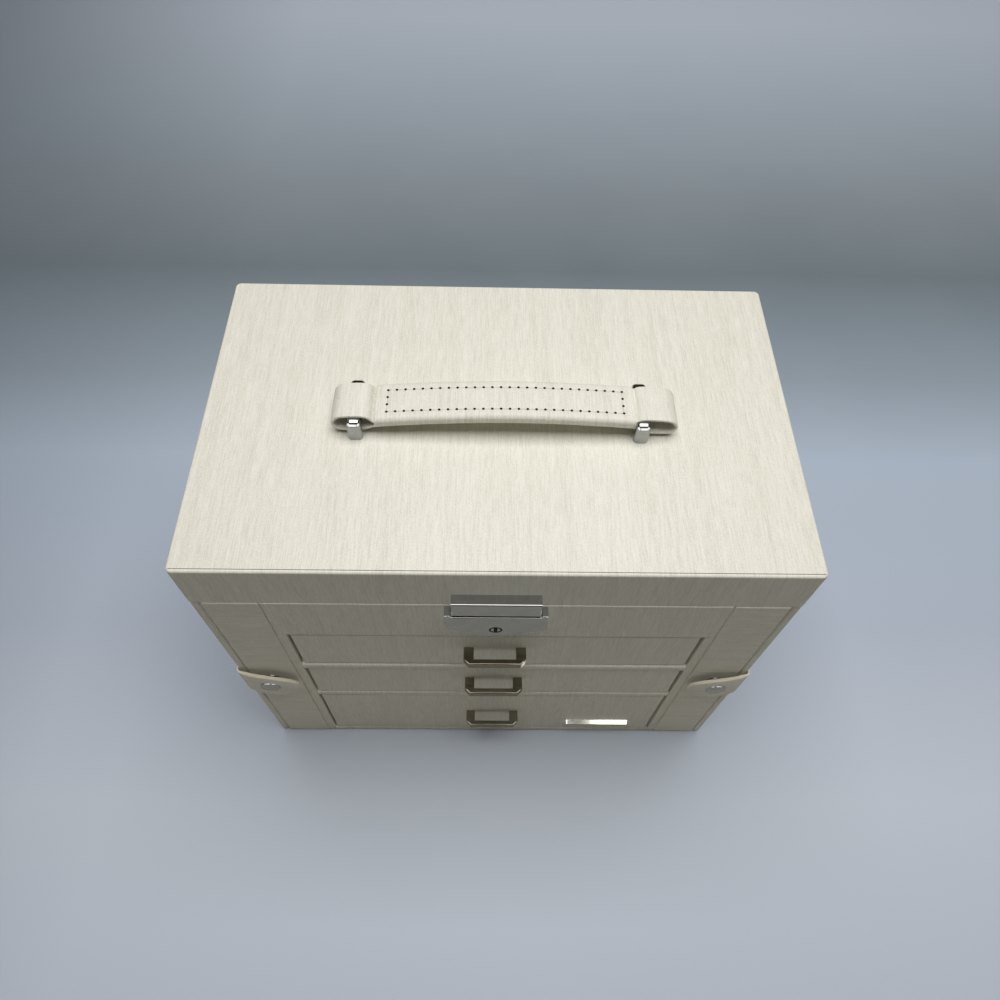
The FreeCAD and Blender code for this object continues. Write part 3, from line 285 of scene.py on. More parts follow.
bm = bmesh.new()
bmesh.ops.create_grid(bm, x_segments=8, y_segments=8, size=4.0)
floor_mesh = bpy.data.meshes.new("floor")
bm.to_mesh(floor_mesh)
bm.free()
floor_mesh.materials.append(floor_finish)
floor = bpy.data.objects.new("floor", floor_mesh)
scene.collection.objects.link(floor)
floor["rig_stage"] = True

# %% Surround the scene
world = bpy.data.worlds.new("studio")
scene.world = world
world.use_nodes = True
tree = world.node_tree
background = tree.nodes["Background"]
direction = tree.nodes.new("ShaderNodeTexCoord")
height = add_node(tree, "ShaderNodeSeparateXYZ", Vector=direction.outputs["Generated"])
window = (2.6, 2.6, 2.5, 1.0)
bright_room = ramp(tree, height.outputs["Z"], [
    (0.0, tone(176, 184, 196)), (0.08, window), (0.55, window), (0.70, tone(110, 98, 76)),
])
dim_room = ramp(tree, height.outputs["Z"], [
    (0.0, tone(120, 112, 94)), (0.35, tone(48, 41, 28)), (0.65, tone(72, 60, 36)),
    (0.80, tone(124, 104, 62)),
])
aside = add_node(tree, "ShaderNodeMapRange",
                 Value=calculate(tree, "ABSOLUTE", height.outputs["X"]))
aside.inputs["From Min"].default_value = 0.09
aside.inputs["From Max"].default_value = 0.13
ahead = add_node(tree, "ShaderNodeMapRange", Value=height.outputs["Y"])
ahead.inputs["From Min"].default_value = -0.15
ahead.inputs["From Max"].default_value = -0.32
mirrored_sky = blended_colour(tree, calculate(tree, "MULTIPLY", aside.outputs[0],
                                              ahead.outputs[0]), dim_room, bright_room)
ray = tree.nodes.new("ShaderNodeLightPath")
seen = blended_colour(tree, ray.outputs["Is Glossy Ray"], tone(36, 35, 33), mirrored_sky)
shown = blended_colour(tree, ray.outputs["Is Camera Ray"], seen, tone(172, 181, 194))
tree.links.new(shown, background.inputs["Color"])

# %% [markdown]
# ## The leather
#
# The boards are wrapped in pale leather printed with a fine wood grain: long thin streaks with
# a slow, cloudy figure behind them, and a shallow emboss that only shows at a low angle. The
# streaks run up the fronts and from front to back over the lid. One pattern does both when it
# is measured across in X and along in Y plus Z, because on each face one of the two stands
# still. On faces that look sideways X stands still, so Y takes its place there.


# %% Make the leather finishes
def grain_coordinates(tree, place):
    """across the grain and along it, as two sockets in metres"""
    point = add_node(tree, "ShaderNodeSeparateXYZ", Vector=place.outputs["Object"])
    facing = add_node(tree, "ShaderNodeSeparateXYZ", Vector=place.outputs["Normal"])
    sideways = calculate(tree, "GREATER_THAN",
                         calculate(tree, "ABSOLUTE", facing.outputs["X"]), 0.7)
    across = calculate(tree, "MULTIPLY_ADD", point.outputs["Y"], sideways, point.outputs["X"])
    along = calculate(tree, "ADD", point.outputs["Y"], point.outputs["Z"])
    return across, along


def grained_leather(name, pale, light, dark, level=False, depth_of_grain=0.00012):
    """pale leather with a printed grain; level turns the streaks to run across the box"""
    material, tree, shader, place = new_finish(name)
    across, along = grain_coordinates(tree, place)
    if level:
        across, along = along, across
    flat = add_node(tree, "ShaderNodeCombineXYZ", X=across, Y=along).outputs[0]
    streaks = stretched_noise(tree, flat, (1800.0, 90.0, 1.0), 4.0, 0.66, 0.3)
    figure = stretched_noise(tree, flat, (260.0, 9.0, 1.0), 4.0, 0.6, 1.0)
    pebbles = stretched_noise(tree, place.outputs["Object"], (1500.0, 1500.0, 1500.0), 3.0, 0.7)
    mottled = calculate(tree, "MULTIPLY_ADD", pebbles, 0.36,
                        calculate(tree, "MULTIPLY", streaks, 0.44))
    blend = calculate(tree, "MULTIPLY_ADD", figure, 0.2, mottled)
    colour = ramp(tree, blend, [(0.41, dark), (0.50, light), (0.59, pale)])
    tree.links.new(colour, shader.inputs["Base Color"])
    tree.links.new(between(tree, streaks, 0.62, 0.42), shader.inputs["Roughness"])
    shader.inputs["Specular IOR Level"].default_value = 0.35
    shader.inputs["Coat Weight"].default_value = 0.06
    shader.inputs["Coat Roughness"].default_value = 0.35
    emboss = relief(tree, streaks, depth_of_grain, 0.7)
    tree.links.new(relief(tree, pebbles, 0.00004, 0.5, emboss), shader.inputs["Normal"])
    return material


PALE, LIGHT, DARK = tone(235, 234, 224), tone(227, 225, 213), tone(214, 211, 199)
leather = grained_leather("leather_upright_grain", PALE, LIGHT, DARK)
leather_level = grained_leather("leather_level_grain", PALE, LIGHT, DARK, level=True)
strap_leather = grained_leather("strap_leather", PALE, LIGHT, DARK, depth_of_grain=0.00016)
print("leather finishes:", leather.name, leather_level.name, strap_leather.name)

# %% [markdown]
# ## Cloth, thread and board finishes
#
# Velvet is short upright pile: it is darker seen straight on and lighter at a low angle, which
# the shader's sheen does, and a hand brushed over it leaves soft patches. The raw leather edge,
# the thread, the felt and the drawers' wrapped board are fibres at different scales.


# %% Make the cloth finishes
def fibres(name, light, dark, cell, fleck, roughness, sheen=0.0, depth_of_pile=0.0001):
    """a fibrous finish: slow patches of shade, and fine flecks that also stand up"""
    material, tree, shader, place = new_finish(name)
    here = place.outputs["Object"]
    patches = stretched_noise(tree, here, (cell, cell, cell), 2.0, 0.5, 0.6)
    flecks = stretched_noise(tree, here, fleck, 3.0, 0.7)
    blend = calculate(tree, "MULTIPLY_ADD", flecks, 0.5, calculate(tree, "MULTIPLY", patches, 0.5))
    colour = ramp(tree, blend, [(0.35, dark), (0.65, light)])
    tree.links.new(colour, shader.inputs["Base Color"])
    tree.links.new(between(tree, flecks, roughness, roughness - 0.12), shader.inputs["Roughness"])
    shader.inputs["Specular IOR Level"].default_value = 0.15
    shader.inputs["Sheen Weight"].default_value = sheen
    shader.inputs["Sheen Roughness"].default_value = 0.35
    tree.links.new(relief(tree, flecks, depth_of_pile, 0.8), shader.inputs["Normal"])
    return material


velvet = fibres("velvet", tone(214, 203, 186), tone(182, 169, 150), 38.0,
                (2600.0, 2600.0, 2600.0), 0.95, sheen=0.7, depth_of_pile=0.00025)
felt = fibres("felt", tone(150, 146, 138), tone(118, 114, 107), 60.0,
              (900.0, 900.0, 300.0), 0.98, sheen=0.2, depth_of_pile=0.0003)
wrapped_board = fibres("wrapped_board", tone(150, 140, 124), tone(128, 118, 102), 45.0,
                       (1500.0, 500.0, 500.0), 0.8)
raw_edge = fibres("raw_leather_edge", tone(240, 232, 216), tone(222, 211, 190), 120.0,
                  (700.0, 2400.0, 2400.0), 0.92)
thread = fibres("thread", tone(226, 221, 206), tone(204, 197, 180), 400.0,
                (1500.0, 3800.0, 3800.0), 0.8, sheen=0.15)
# Painted shade: this near-black finish stands for the shade inside needle holes, the keyhole's recess and
# the keyway.
painted_hole_shade = fibres("painted_hole_shade", tone(44, 40, 33), tone(24, 21, 17), 500.0,
                     (2500.0, 2500.0, 2500.0), 0.95)

# %% [markdown]
# ## Metal and mirror
#
# Polished nickel is a mirror with a warm grey tint. What tells it from a perfect mirror is a
# faint unevenness: the roughness wanders a little, and hair-fine polishing lines run one way.
# The drawer pulls read darker and warmer than the lock because what they mirror is dimmer, and that is
# painted into a darker, warmer copy of the nickel for them.
# The hinges are plainer brushed steel, and the mirror is silvered glass.


# %% Make the metal finishes
def polished(name, light, dark, low, high, lines=(300.0, 2600.0, 300.0), waver=0.00001):
    """metal whose roughness wanders from low to high along fine polishing lines"""
    material, tree, shader, place = new_finish(name)
    here = place.outputs["Object"]
    shader.inputs["Metallic"].default_value = 1.0
    scratches = stretched_noise(tree, here, lines, 4.0, 0.7)
    clouds = stretched_noise(tree, here, (160.0, 160.0, 160.0), 2.0)
    tree.links.new(ramp(tree, clouds, [(0.35, dark), (0.65, light)]), shader.inputs["Base Color"])
    tree.links.new(between(tree, scratches, low, high), shader.inputs["Roughness"])
    tree.links.new(relief(tree, scratches, waver, 0.5), shader.inputs["Normal"])
    return material


nickel = polished("polished_nickel", tone(168, 170, 171), tone(160, 162, 164), 0.04, 0.11)
# Painted shade: the same polished nickel with a darker, warmer colour, for the pulls' dimmer reflections.
nickel_with_painted_shade = polished("nickel_with_painted_shade", tone(128, 123, 111), tone(118, 113, 102), 0.04, 0.11)
bright_plate = polished("bright_plate", tone(250, 249, 244), tone(244, 243, 238), 0.12, 0.24)
hinge_steel = polished("hinge_steel", tone(200, 197, 190), tone(186, 183, 176), 0.26, 0.42,
                       lines=(200.0, 200.0, 3000.0), waver=0.00002)
silvered = polished("silvered_glass", tone(240, 243, 242), tone(236, 240, 239), 0.0, 0.03,
                    lines=(40.0, 40.0, 40.0), waver=0.0)

# %% [markdown]
# ## Wrapped boards
#
# A board wrapped in leather never has a sharp edge: the leather turns over it in a small
# radius that catches the light. The construction meshes are loose triangles, so a copy is
# welded, its flat faces are joined up again, and its sharp edges are rounded. That keeps each
# board's place and size, and the copy then stands for the node. The leather on the case's front
# edges builds up to half a millimetre more than on the lid and the drawers, so their tops show
# as thin bright lines.


# %% Define the helpers for pieces
MM = 0.001


def put_in_scene(name, bm, finishes, body, stands_for=(), smooth=35.0):
    """a piece of the scene from a bmesh in millimetres, riding on a body"""
    bmesh.ops.scale(bm, vec=(MM, MM, MM), verts=bm.verts)
    mesh = bpy.data.meshes.new(name)
    bm.to_mesh(mesh)
    bm.free()
    mesh.shade_smooth()
    mesh.set_sharp_from_angle(angle=math.radians(smooth))
    for finish in finishes:
        mesh.materials.append(finish)
    piece = bpy.data.objects.new(name, mesh)
    scene.collection.objects.link(piece)
    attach(piece, body)
    if stands_for:
        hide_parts(*stands_for)
    return piece


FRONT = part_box("front_rail")[0].y / MM


def welded(node):
    """a node's triangles as one closed bmesh in millimetres, with its flat faces whole"""
    bm = bmesh.new()
    bm.from_mesh(nodes[node].data)
    bmesh.ops.scale(bm, vec=(1 / MM, 1 / MM, 1 / MM), verts=bm.verts)
    bmesh.ops.remove_doubles(bm, verts=bm.verts, dist=0.002)
    bmesh.ops.dissolve_limit(bm, angle_limit=math.radians(0.8), verts=bm.verts, edges=bm.edges)
    return bm


def round_sharp_edges(bm, radius, steps=2, corner=35.0):
    """bevel every edge that turns by more than the corner angle"""
    sharp = [edge for edge in bm.edges
             if len(edge.link_faces) == 2 and edge.calc_face_angle(0.0) > math.radians(corner)]
    bmesh.ops.bevel(bm, geom=sharp, offset=radius, segments=steps, profile=0.5, affect="EDGES",
                    clamp_overlap=True, material=-1)


def dress(node, finish, radius=0.0, smooth=35.0, proud=0.0, swell=(0.0, 0.0, 0.0)):
    """a welded, rounded and smooth copy that stands for a construction node

    proud carries its front forward, and swell moves its front outwards from its middle.
    """
    bm = welded(node)
    middle = sum(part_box(node), Vector()) / 2 / MM
    for vert in bm.verts:
        if vert.co.y < FRONT + 2.0:
            vert.co += Vector([grow * math.copysign(1.0, here - there) for grow, here, there
                               in zip(swell, vert.co, middle)])
            vert.co.y -= proud
    if radius:
        round_sharp_edges(bm, radius)
    piece = put_in_scene(node + "_dressed", bm, [finish], nodes[node]["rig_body"],
                         stands_for=[node], smooth=smooth)
    even = piece.modifiers.new("even_shading", "WEIGHTED_NORMAL")
    even.keep_sharp = True
    even.weight = 100
    return piece


def add_card(bm, low, high, radius, steps=3):
    """one block with rounded edges between two corners, in millimetres"""
    size = high - low
    place = Matrix.Translation((low + high) / 2) @ Matrix.Diagonal((*size, 1.0))
    verts = bmesh.ops.create_cube(bm, size=1.0, matrix=place)["verts"]
    edges = list({edge for vert in verts for edge in vert.link_edges})
    bmesh.ops.bevel(bm, geom=edges, offset=min(radius, min(size) * 0.45), segments=steps,
                    profile=0.5, affect="EDGES", clamp_overlap=True, material=-1)


# %% Wrap the boards
PROUD = {"front_rail": 0.35, "inner_wall_left": 0.4, "inner_wall_right": 0.4,
         "shelf_upper": 0.7, "shelf_lower": 0.3}
UPRIGHT_GRAIN = [
    "lid_rim", "front_rail", "back_panel", "base_board",
    "inner_wall_left", "inner_wall_right",
    "drawer_front_upper", "drawer_front_middle", "drawer_front_lower",
    "side_door_left", "side_door_right",
]
for node in UPRIGHT_GRAIN:
    dress(node, leather, radius=0.35, proud=PROUD.get(node, 0.0))
for node in ("shelf_upper", "shelf_lower"):
    dress(node, leather, radius=0.5, proud=PROUD[node], swell=(0.0, 0.0, 0.25))
for node in ("side_front_left", "side_front_right"):
    dress(node, leather_level, radius=0.5, proud=0.4, swell=(-0.28, 0.0, 0.0))
print("wrapped boards:", len(UPRIGHT_GRAIN) + 4)

# %% Lay the lid's top board
panel_low, panel_high = (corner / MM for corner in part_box("lid_panel"))
bm = bmesh.new()
add_card(bm, panel_low - Vector((0.45, 0.0, 0.0)), panel_high + Vector((0.45, 0.45, 0.03)), 0.12)
put_in_scene("lid_panel_board", bm, [leather], "lid", ["lid_panel"])

# %% [markdown]
# ## Metal parts
#
# Lock, brackets, pulls, studs and hinges already have their real shapes. Only the shading has
# to change: rounded faces shade smoothly and sharp edges stay, with a hairline rounding so that
# they glint as real edges do.

# %% Polish the metal
for node in ("lock_case", "lock_hasp", "lock_barrel", "handle_brackets", "snap_studs",
             "necklace_hooks"):
    dress(node, nickel, radius=0.09, smooth=40.0)
for node in ("drawer_pull_upper", "drawer_pull_middle", "drawer_pull_lower"):
    dress(node, nickel_with_painted_shade, radius=0.05, smooth=40.0)
for node in ("case_hinge_leaves", "hinge_screws", "lid_hinges", "door_hinges_left",
             "door_hinges_right"):
    dress(node, hinge_steel, smooth=40.0)
dress("lid_mirror", silvered, radius=1.4, smooth=20.0)

# %% [markdown]
# ## Wires that grow into strips
#
# Straps and pockets are strips that follow a path. The path is drawn as a wire: one point is
# extruded from corner to corner, and spun where the path turns. The finished wire is then
# extruded sideways in a few steps, with a step close to each side to hold the edge firm when
# the strip is subdivided.


# %% Define the strip helpers
def wire_to(bm, end, points):
    """carry a wire on from its end through more points, and give its new end"""
    for point in points:
        grown = bmesh.ops.extrude_vert_indiv(bm, verts=[end])["verts"][0]
        grown.co = point
        end = grown
    return end


def wire_round(bm, end, centre, axis, degrees, steps):
    """carry a wire on round an arc, and give its new end"""
    spun = bmesh.ops.spin(bm, geom=[end], cent=centre, axis=axis, dvec=(0, 0, 0),
                          angle=math.radians(degrees), steps=steps, use_merge=False,
                          use_normal_flip=False, use_duplicate=False)["geom_last"]
    return [item for item in spun if isinstance(item, bmesh.types.BMVert)][0]


def sweep(bm, steps):
    """extrude all edges by each step in turn, so that a wire becomes a strip"""
    edges = bm.edges[:]
    for step in steps:
        grown = bmesh.ops.extrude_edge_only(bm, edges=edges)["geom"]
        edges = [item for item in grown if isinstance(item, bmesh.types.BMEdge)]
        verts = [item for item in grown if isinstance(item, bmesh.types.BMVert)]
        bmesh.ops.translate(bm, vec=step, verts=verts)
        edges = [edge for edge in edges if all(vert in verts for vert in edge.verts)]


def thicken(piece, thickness, levels=2):
    """give a strip its thickness, half to each side, and round it by subdivision"""
    solid = piece.modifiers.new("thickness", "SOLIDIFY")
    solid.thickness = thickness * MM
    solid.offset = 0.0
    smooth = piece.modifiers.new("rounding", "SUBSURF")
    smooth.levels = levels
    smooth.render_levels = levels


# %% [markdown]
# ## Keyhole
#
# The lock's plug sits in a round recess of the case, and a narrow keyway is cut into it. At this size both
# read as fine dark lines of shade, and that shade is painted: a dark ring spun from one edge covers the
# recess, and a small dark rounded tongue that turns with the plug stands for the keyway.

# %% Open the keyhole
plug_low, plug_high = (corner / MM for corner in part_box("lock_barrel"))
KEY_X = (plug_low.x + plug_high.x) / 2
KEY_Z = plug_low.z + (plug_high.x - plug_low.x) / 2
LOCK_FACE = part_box("lock_case")[0].y / MM

# Painted shade: a near-black ring over the gap round the plug.
ring = bmesh.new()
first = ring.verts.new((KEY_X + 2.05, LOCK_FACE - 0.05, KEY_Z))
second = ring.verts.new((KEY_X + 2.8, LOCK_FACE - 0.05, KEY_Z))
edge = ring.edges.new((first, second))
bmesh.ops.spin(ring, geom=[first, second, edge], cent=(KEY_X, 0, KEY_Z), axis=(0, -1, 0),
               dvec=(0, 0, 0), angle=math.tau, steps=40, use_merge=True, use_normal_flip=False,
               use_duplicate=False)
bmesh.ops.solidify(ring, geom=ring.faces[:], thickness=0.08)
bmesh.ops.recalc_face_normals(ring, faces=ring.faces)
put_in_scene("keyhole_ring_shade", ring, [painted_hole_shade], "case")

# Painted shade: a near-black tongue in the keyway's place.
keyway_shade = bmesh.new()
add_card(keyway_shade, Vector((KEY_X - 0.85, LOCK_FACE - 0.12, KEY_Z - 1.9)),
         Vector((KEY_X + 0.85, LOCK_FACE + 0.4, KEY_Z + 1.9)), 0.3)
put_in_scene("keyway_shade", keyway_shade, [painted_hole_shade], nodes["lock_barrel"]["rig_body"])

# %% [markdown]
# ## Name plate
#
# The small plate low on the drawers is a bar with a broad bevel along its top. The bevel faces
# a window, so it shines white while the lip below it stays dark. Its profile is drawn as a
# wire, filled, and extruded along the drawer, and the ends are rounded.

# %% Bevel the name plate
plate_low, plate_high = (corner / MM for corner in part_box("name_plate"))
bm = bmesh.new()
corners = [bm.verts.new((plate_low.x, y, z)) for y, z in (
    (plate_high.y, plate_high.z - 2.1), (plate_high.y - 1.9, plate_high.z - 3.9),
    (plate_high.y - 1.9, plate_high.z - 4.6), (plate_high.y, plate_high.z - 4.6))]
outline = [bm.edges.new((corners[number - 1], corners[number])) for number in range(4)]
end_face = bmesh.ops.contextual_create(bm, geom=outline)["faces"]
grown = bmesh.ops.extrude_face_region(bm, geom=end_face)["geom"]
bmesh.ops.translate(bm, vec=(plate_high.x - plate_low.x, 0, 0),
                    verts=[item for item in grown if isinstance(item, bmesh.types.BMVert)])
bmesh.ops.recalc_face_normals(bm, faces=bm.faces)
front_corners = [edge for edge in bm.edges
                 if abs(edge.verts[0].co.x - edge.verts[1].co.x) < 0.01
                 and min(vert.co.y for vert in edge.verts) < plate_high.y - 1.5
                 and abs(edge.verts[0].co.z - edge.verts[1].co.z) > 0.1]
bmesh.ops.bevel(bm, geom=front_corners, offset=0.9, segments=4, profile=0.5, affect="EDGES",
                clamp_overlap=True, material=-1)
put_in_scene("name_plate_bevelled", bm, [bright_plate], nodes["name_plate"]["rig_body"],
             ["name_plate"])

# %% [markdown]
# ## Press stud caps
#
# A cap is a round pressing: a rolled rim, a shallow ring inside it and a low dome. That is one
# profile turned about the stud's axis, with the post and the spring socket on the same axis
# behind the leather.

# %% Turn the press stud caps
CAP_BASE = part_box("snap_cap_right")[1].y / MM - 2.75
for side_name, sign in (("left", -1), ("right", 1)):
    cap_low, cap_high = (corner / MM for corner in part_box("snap_cap_" + side_name))
    axis_x = (cap_low.x + cap_high.x) / 2
    axis_z = (cap_low.z + cap_high.z) / 2
    bm = bmesh.new()
    end = bm.verts.new((axis_x, CAP_BASE - 1.3, axis_z))
    wire_to(bm, end, [(axis_x + out, CAP_BASE - y, axis_z) for out, y in (
        (1.2, 1.28), (2.4, 1.1), (3.2, 0.7), (3.6, 0.75), (4.2, 0.95), (4.7, 0.85), (5.0, 0.5),
        (5.0, 0.0), (2.0, -0.05), (2.0, -1.4), (4.4, -1.45), (4.4, -2.7), (0.0, -2.75))])
    bmesh.ops.spin(bm, geom=bm.verts[:] + bm.edges[:], cent=(axis_x, 0, axis_z), axis=(0, 1, 0),
                   dvec=(0, 0, 0), angle=math.tau, steps=40, use_merge=True,
                   use_normal_flip=False, use_duplicate=False)
    bmesh.ops.remove_doubles(bm, verts=bm.verts, dist=0.005)
    bmesh.ops.recalc_face_normals(bm, faces=bm.faces)
    put_in_scene("snap_cap_turned_" + side_name, bm, [nickel], "flap_" + side_name,
                 ["snap_cap_" + side_name], smooth=40.0)
print("press stud caps turned")

# %% [markdown]
# ## Soft and wrapped inner boards
#
# The linings are thin cards wrapped in velvet, glued in side by side. In the construction model
# each card is one block, stored as 24 corner points in a row, so its box can be read off and a
# card with rolled edges made in its place.

# %% Define the card helper
CORNERS = 24


def cards_of(node):
    """the box of each block in a node, in millimetres"""
    points = [vert.co / MM for vert in nodes[node].data.vertices]
    boxes = []
    for start in range(0, len(points), CORNERS):
        block = points[start:start + CORNERS]
        boxes.append((Vector([min(point[axis] for point in block) for axis in range(3)]),
                      Vector([max(point[axis] for point in block) for axis in range(3)])))
    return boxes


def card_piece(node, finish, radius):
    """all cards of a node as one piece that stands for it"""
    bm = bmesh.new()
    for low, high in cards_of(node):
        add_card(bm, low, high, radius)
    return put_in_scene(node + "_cards", bm, [finish], nodes[node]["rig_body"],
                        stands_for=[node])


# %% Line the inside
for node in ("tray_lining", "bay_lining_left", "bay_lining_right", "door_lining_left",
             "door_lining_right", "drawer_lining_upper", "drawer_lining_middle",
             "drawer_lining_lower"):
    card_piece(node, velvet, 0.7)
for node in ("drawer_tray_upper", "drawer_tray_middle", "drawer_tray_lower", "tray_floor"):
    card_piece(node, wrapped_board, 0.5)
card_piece("side_tops", leather, 0.5)
card_piece("base_felt", felt, 0.3)
print("cards in the tray:", len(cards_of("tray_lining")))

# %% [markdown]
# ## Ring rolls
#
# Rings stand in the slots between soft velvet rolls. A roll is foam in a velvet sleeve: flat
# below, round above, fuller in the middle than at its sewn ends. One block is rounded along its
# length and then crowned by moving its points, and its copies lie side by side.

# %% Fill the ring rolls
rolls_low, rolls_high = (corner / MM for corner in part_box("ring_rolls"))
ROLLS = 11
pitch = (rolls_high.y - rolls_low.y + 0.3) / ROLLS
roll_length = rolls_high.x - rolls_low.x
roll_height = rolls_high.z - rolls_low.z

bm = bmesh.new()
block = bmesh.ops.create_cube(bm, size=1.0, matrix=Matrix.Diagonal(
    (roll_length, pitch - 0.3, roll_height, 1.0)))["verts"]
long_edges = [edge for edge in bm.edges
              if all(vert.co.z > 0 for vert in edge.verts)
              and abs(edge.verts[0].co.x - edge.verts[1].co.x) > 1]
bmesh.ops.bevel(bm, geom=long_edges, offset=pitch * 0.42, segments=7, profile=0.5,
                affect="EDGES", clamp_overlap=True, material=-1)
round_sharp_edges(bm, 0.5)
for cut in range(1, 24):
    bmesh.ops.bisect_plane(bm, geom=bm.verts[:] + bm.edges[:] + bm.faces[:],
                           plane_co=(roll_length * (cut / 24 - 0.5), 0, 0), plane_no=(1, 0, 0))
for vert in bm.verts:
    share = vert.co.x / (roll_length / 2)
    fullness = 1.0 - 0.10 * share ** 8
    crease = 1.0 - 0.012 * math.cos(vert.co.x * 0.9) * (1 - share * share)
    above = vert.co.z + roll_height / 2
    vert.co.z = above * fullness * crease - roll_height / 2
    vert.co.y *= fullness
first_roll = bm.verts[:] + bm.edges[:] + bm.faces[:]
centre = Vector(((rolls_low.x + rolls_high.x) / 2, rolls_low.y + (pitch - 0.3) / 2,
                 (rolls_low.z + rolls_high.z) / 2))
bmesh.ops.translate(bm, vec=centre, verts=bm.verts)
for number in range(1, ROLLS):
    copy = bmesh.ops.duplicate(bm, geom=first_roll)["geom"]
    bmesh.ops.translate(bm, vec=(0, pitch * number, 0),
                        verts=[item for item in copy if isinstance(item, bmesh.types.BMVert)])
rolls = put_in_scene("ring_rolls_filled", bm, [velvet], "case", ["ring_rolls"],
                     smooth=60.0)
print("ring rolls:", ROLLS, "each", round(pitch, 1), "mm wide")

# %% [markdown]
# ## Lid pad
#
# The inside of the lid is a velvet board with a border that stands proud round the mirror. It
# starts as one block: its lower face is inset to the mirror's size and pushed up, and the two
# rims are rounded wide, so that the border reads as padding.

# %% Upholster the lid
pad_low, pad_high = (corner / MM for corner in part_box("lid_pad"))
mirror_low, mirror_high = (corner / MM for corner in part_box("lid_mirror"))
bm = bmesh.new()
size = pad_high - pad_low
bmesh.ops.create_cube(bm, size=1.0, matrix=Matrix.Translation((pad_low + pad_high) / 2)
                      @ Matrix.Diagonal((*size, 1.0)))
below = [face for face in bm.faces if face.normal.z < -0.9]
bmesh.ops.inset_region(bm, faces=below, thickness=mirror_low.x - pad_low.x, depth=0.0,
                       use_even_offset=True)
bmesh.ops.translate(bm, vec=(0, 0, mirror_high.z - mirror_low.z), verts=below[0].verts[:])
rims = [edge for edge in bm.edges
        if all(abs(vert.co.z - pad_low.z) < 0.01 for vert in edge.verts)
        and edge.calc_face_angle(0.0) > 0.5]
bmesh.ops.bevel(bm, geom=rims, offset=1.7, segments=5, profile=0.5, affect="EDGES",
                clamp_overlap=True, material=-1)
round_sharp_edges(bm, 0.4)
pad = put_in_scene("lid_pad_velvet", bm, [velvet], "lid", ["lid_pad"])

# %% [markdown]
# ## Handle strap
#
# The strap is one band that runs out of the grip, round the far side of each bracket and back
# below itself, so each end is a drop-shaped loop that hangs on the bracket's bar. The wire
# below follows the middle of the leather all the way round. The loops are not quite alike,
# because the brackets stand a little to the left of the strap's middle, and both droop at the
# tip under their own weight.

# %% Loop the strap
strap_low, strap_high = (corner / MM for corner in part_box("handle_strap"))
HANDLE_X = (strap_low.x + strap_high.x) / 2
HANDLE_Y = (strap_low.y + strap_high.y) / 2
LID_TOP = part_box("lid_rim")[1].z / MM
STRAP = 1.2
STRAP_NEAR = strap_low.y + 0.6
STRAP_WIDE = 18.0
LOOP_LOW = 2.5
LOOP_HIGH = 10.9
loop_middle = (LOOP_LOW + LOOP_HIGH) / 2
loop_radius = (LOOP_HIGH - LOOP_LOW) / 2
loop_end = (strap_high.x - strap_low.x - STRAP) / 2 - loop_radius


def along(points):
    """points of the strap's path, at its near side"""
    return [(x, STRAP_NEAR, z) for x, z in points]


bm = bmesh.new()
start = bm.verts.new((0, STRAP_NEAR, 9.6))
end = wire_to(bm, start, along([(30, 8.7), (46, 7.3), (51, 6.5), (53.6, 5.9), (55.6, 4.6),
                                (58, 3.1), (61.5, LOOP_LOW), (loop_end, LOOP_LOW)]))
end = wire_round(bm, end, (loop_end, 0, loop_middle), (0, -1, 0), 180, 10)
end = wire_to(bm, end, along([(62, 10.95), (57.5, 10.95), (55.6, 10.6), (54.4, 9.2), (53.0, 9.1), (50, 9.3),
                              (46, 9.7), (30, 11.0), (0, 11.8), (-30, 10.5), (-46, 9.0),
                              (-50.5, 8.3), (-52.9, 7.5), (-54.7, 7.0), (-56.0, 9.9), (-58.5, 10.9),
                              (-62, 10.95), (-loop_end, LOOP_HIGH)]))
end = wire_round(bm, end, (-loop_end, 0, loop_middle), (0, -1, 0), 180, 10)
end = wire_to(bm, end, along([(-62, LOOP_LOW), (-58.5, 3.0), (-55.8, 4.1), (-53.5, 5.2),
                              (-51, 5.8), (-46, 6.7), (-30, 8.2)]))
bm.edges.new((end, start))
sweep(bm, [(0, step, 0) for step in (0.5, 1.6, STRAP_WIDE / 2 - 2.1, STRAP_WIDE / 2 - 2.1,
                                     1.6, 0.5)])
for vert in bm.verts:
    if vert.co.z > loop_middle:
        beyond = max(0.0, vert.co.x - 60, -vert.co.x - 63)
        vert.co.z -= (0.011 if vert.co.x > 0 else 0.017) * beyond ** 2
bmesh.ops.translate(bm, vec=(HANDLE_X, 0, LID_TOP), verts=bm.verts)
bmesh.ops.recalc_face_normals(bm, faces=bm.faces)
strap = put_in_scene("handle_strap_leather", bm, [strap_leather], "handle",
                     ["handle_strap"], smooth=180.0)
thicken(strap, STRAP)
print("strap:", round(strap.dimensions.x / MM, 1), "mm from loop to loop")

# %% [markdown]
# ## Grip
#
# A padded sleeve is sewn round the middle of the strap. It arches a little, its long edges are
# rolled, and a rectangle of stitches pulls a shallow groove into its top. A block is cut into
# columns and rows first, so that there are points to move, and then each point is set from
# its place along and across the grip.

# %% Stuff the grip
grip_low, grip_high = (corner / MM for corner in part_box("handle_grip"))
GRIP_HALF = (grip_high.x - grip_low.x) / 2
GRIP_WIDE = grip_high.y - grip_low.y
STITCH_HALF = GRIP_HALF - 5.1
STITCH_ROW = 5.7
LEAN = 0.009


def grip_top(x):
    """height of the grip's top above the lid, along its length"""
    return 10.3 + 3.0 * (1 - abs(x / GRIP_HALF) ** 1.8) + LEAN * x


def grip_bottom(x):
    """height of the grip's underside above the lid, along its length"""
    return 4.85 + 3.3 * (1 - abs(x / GRIP_HALF) ** 1.9) + LEAN * x


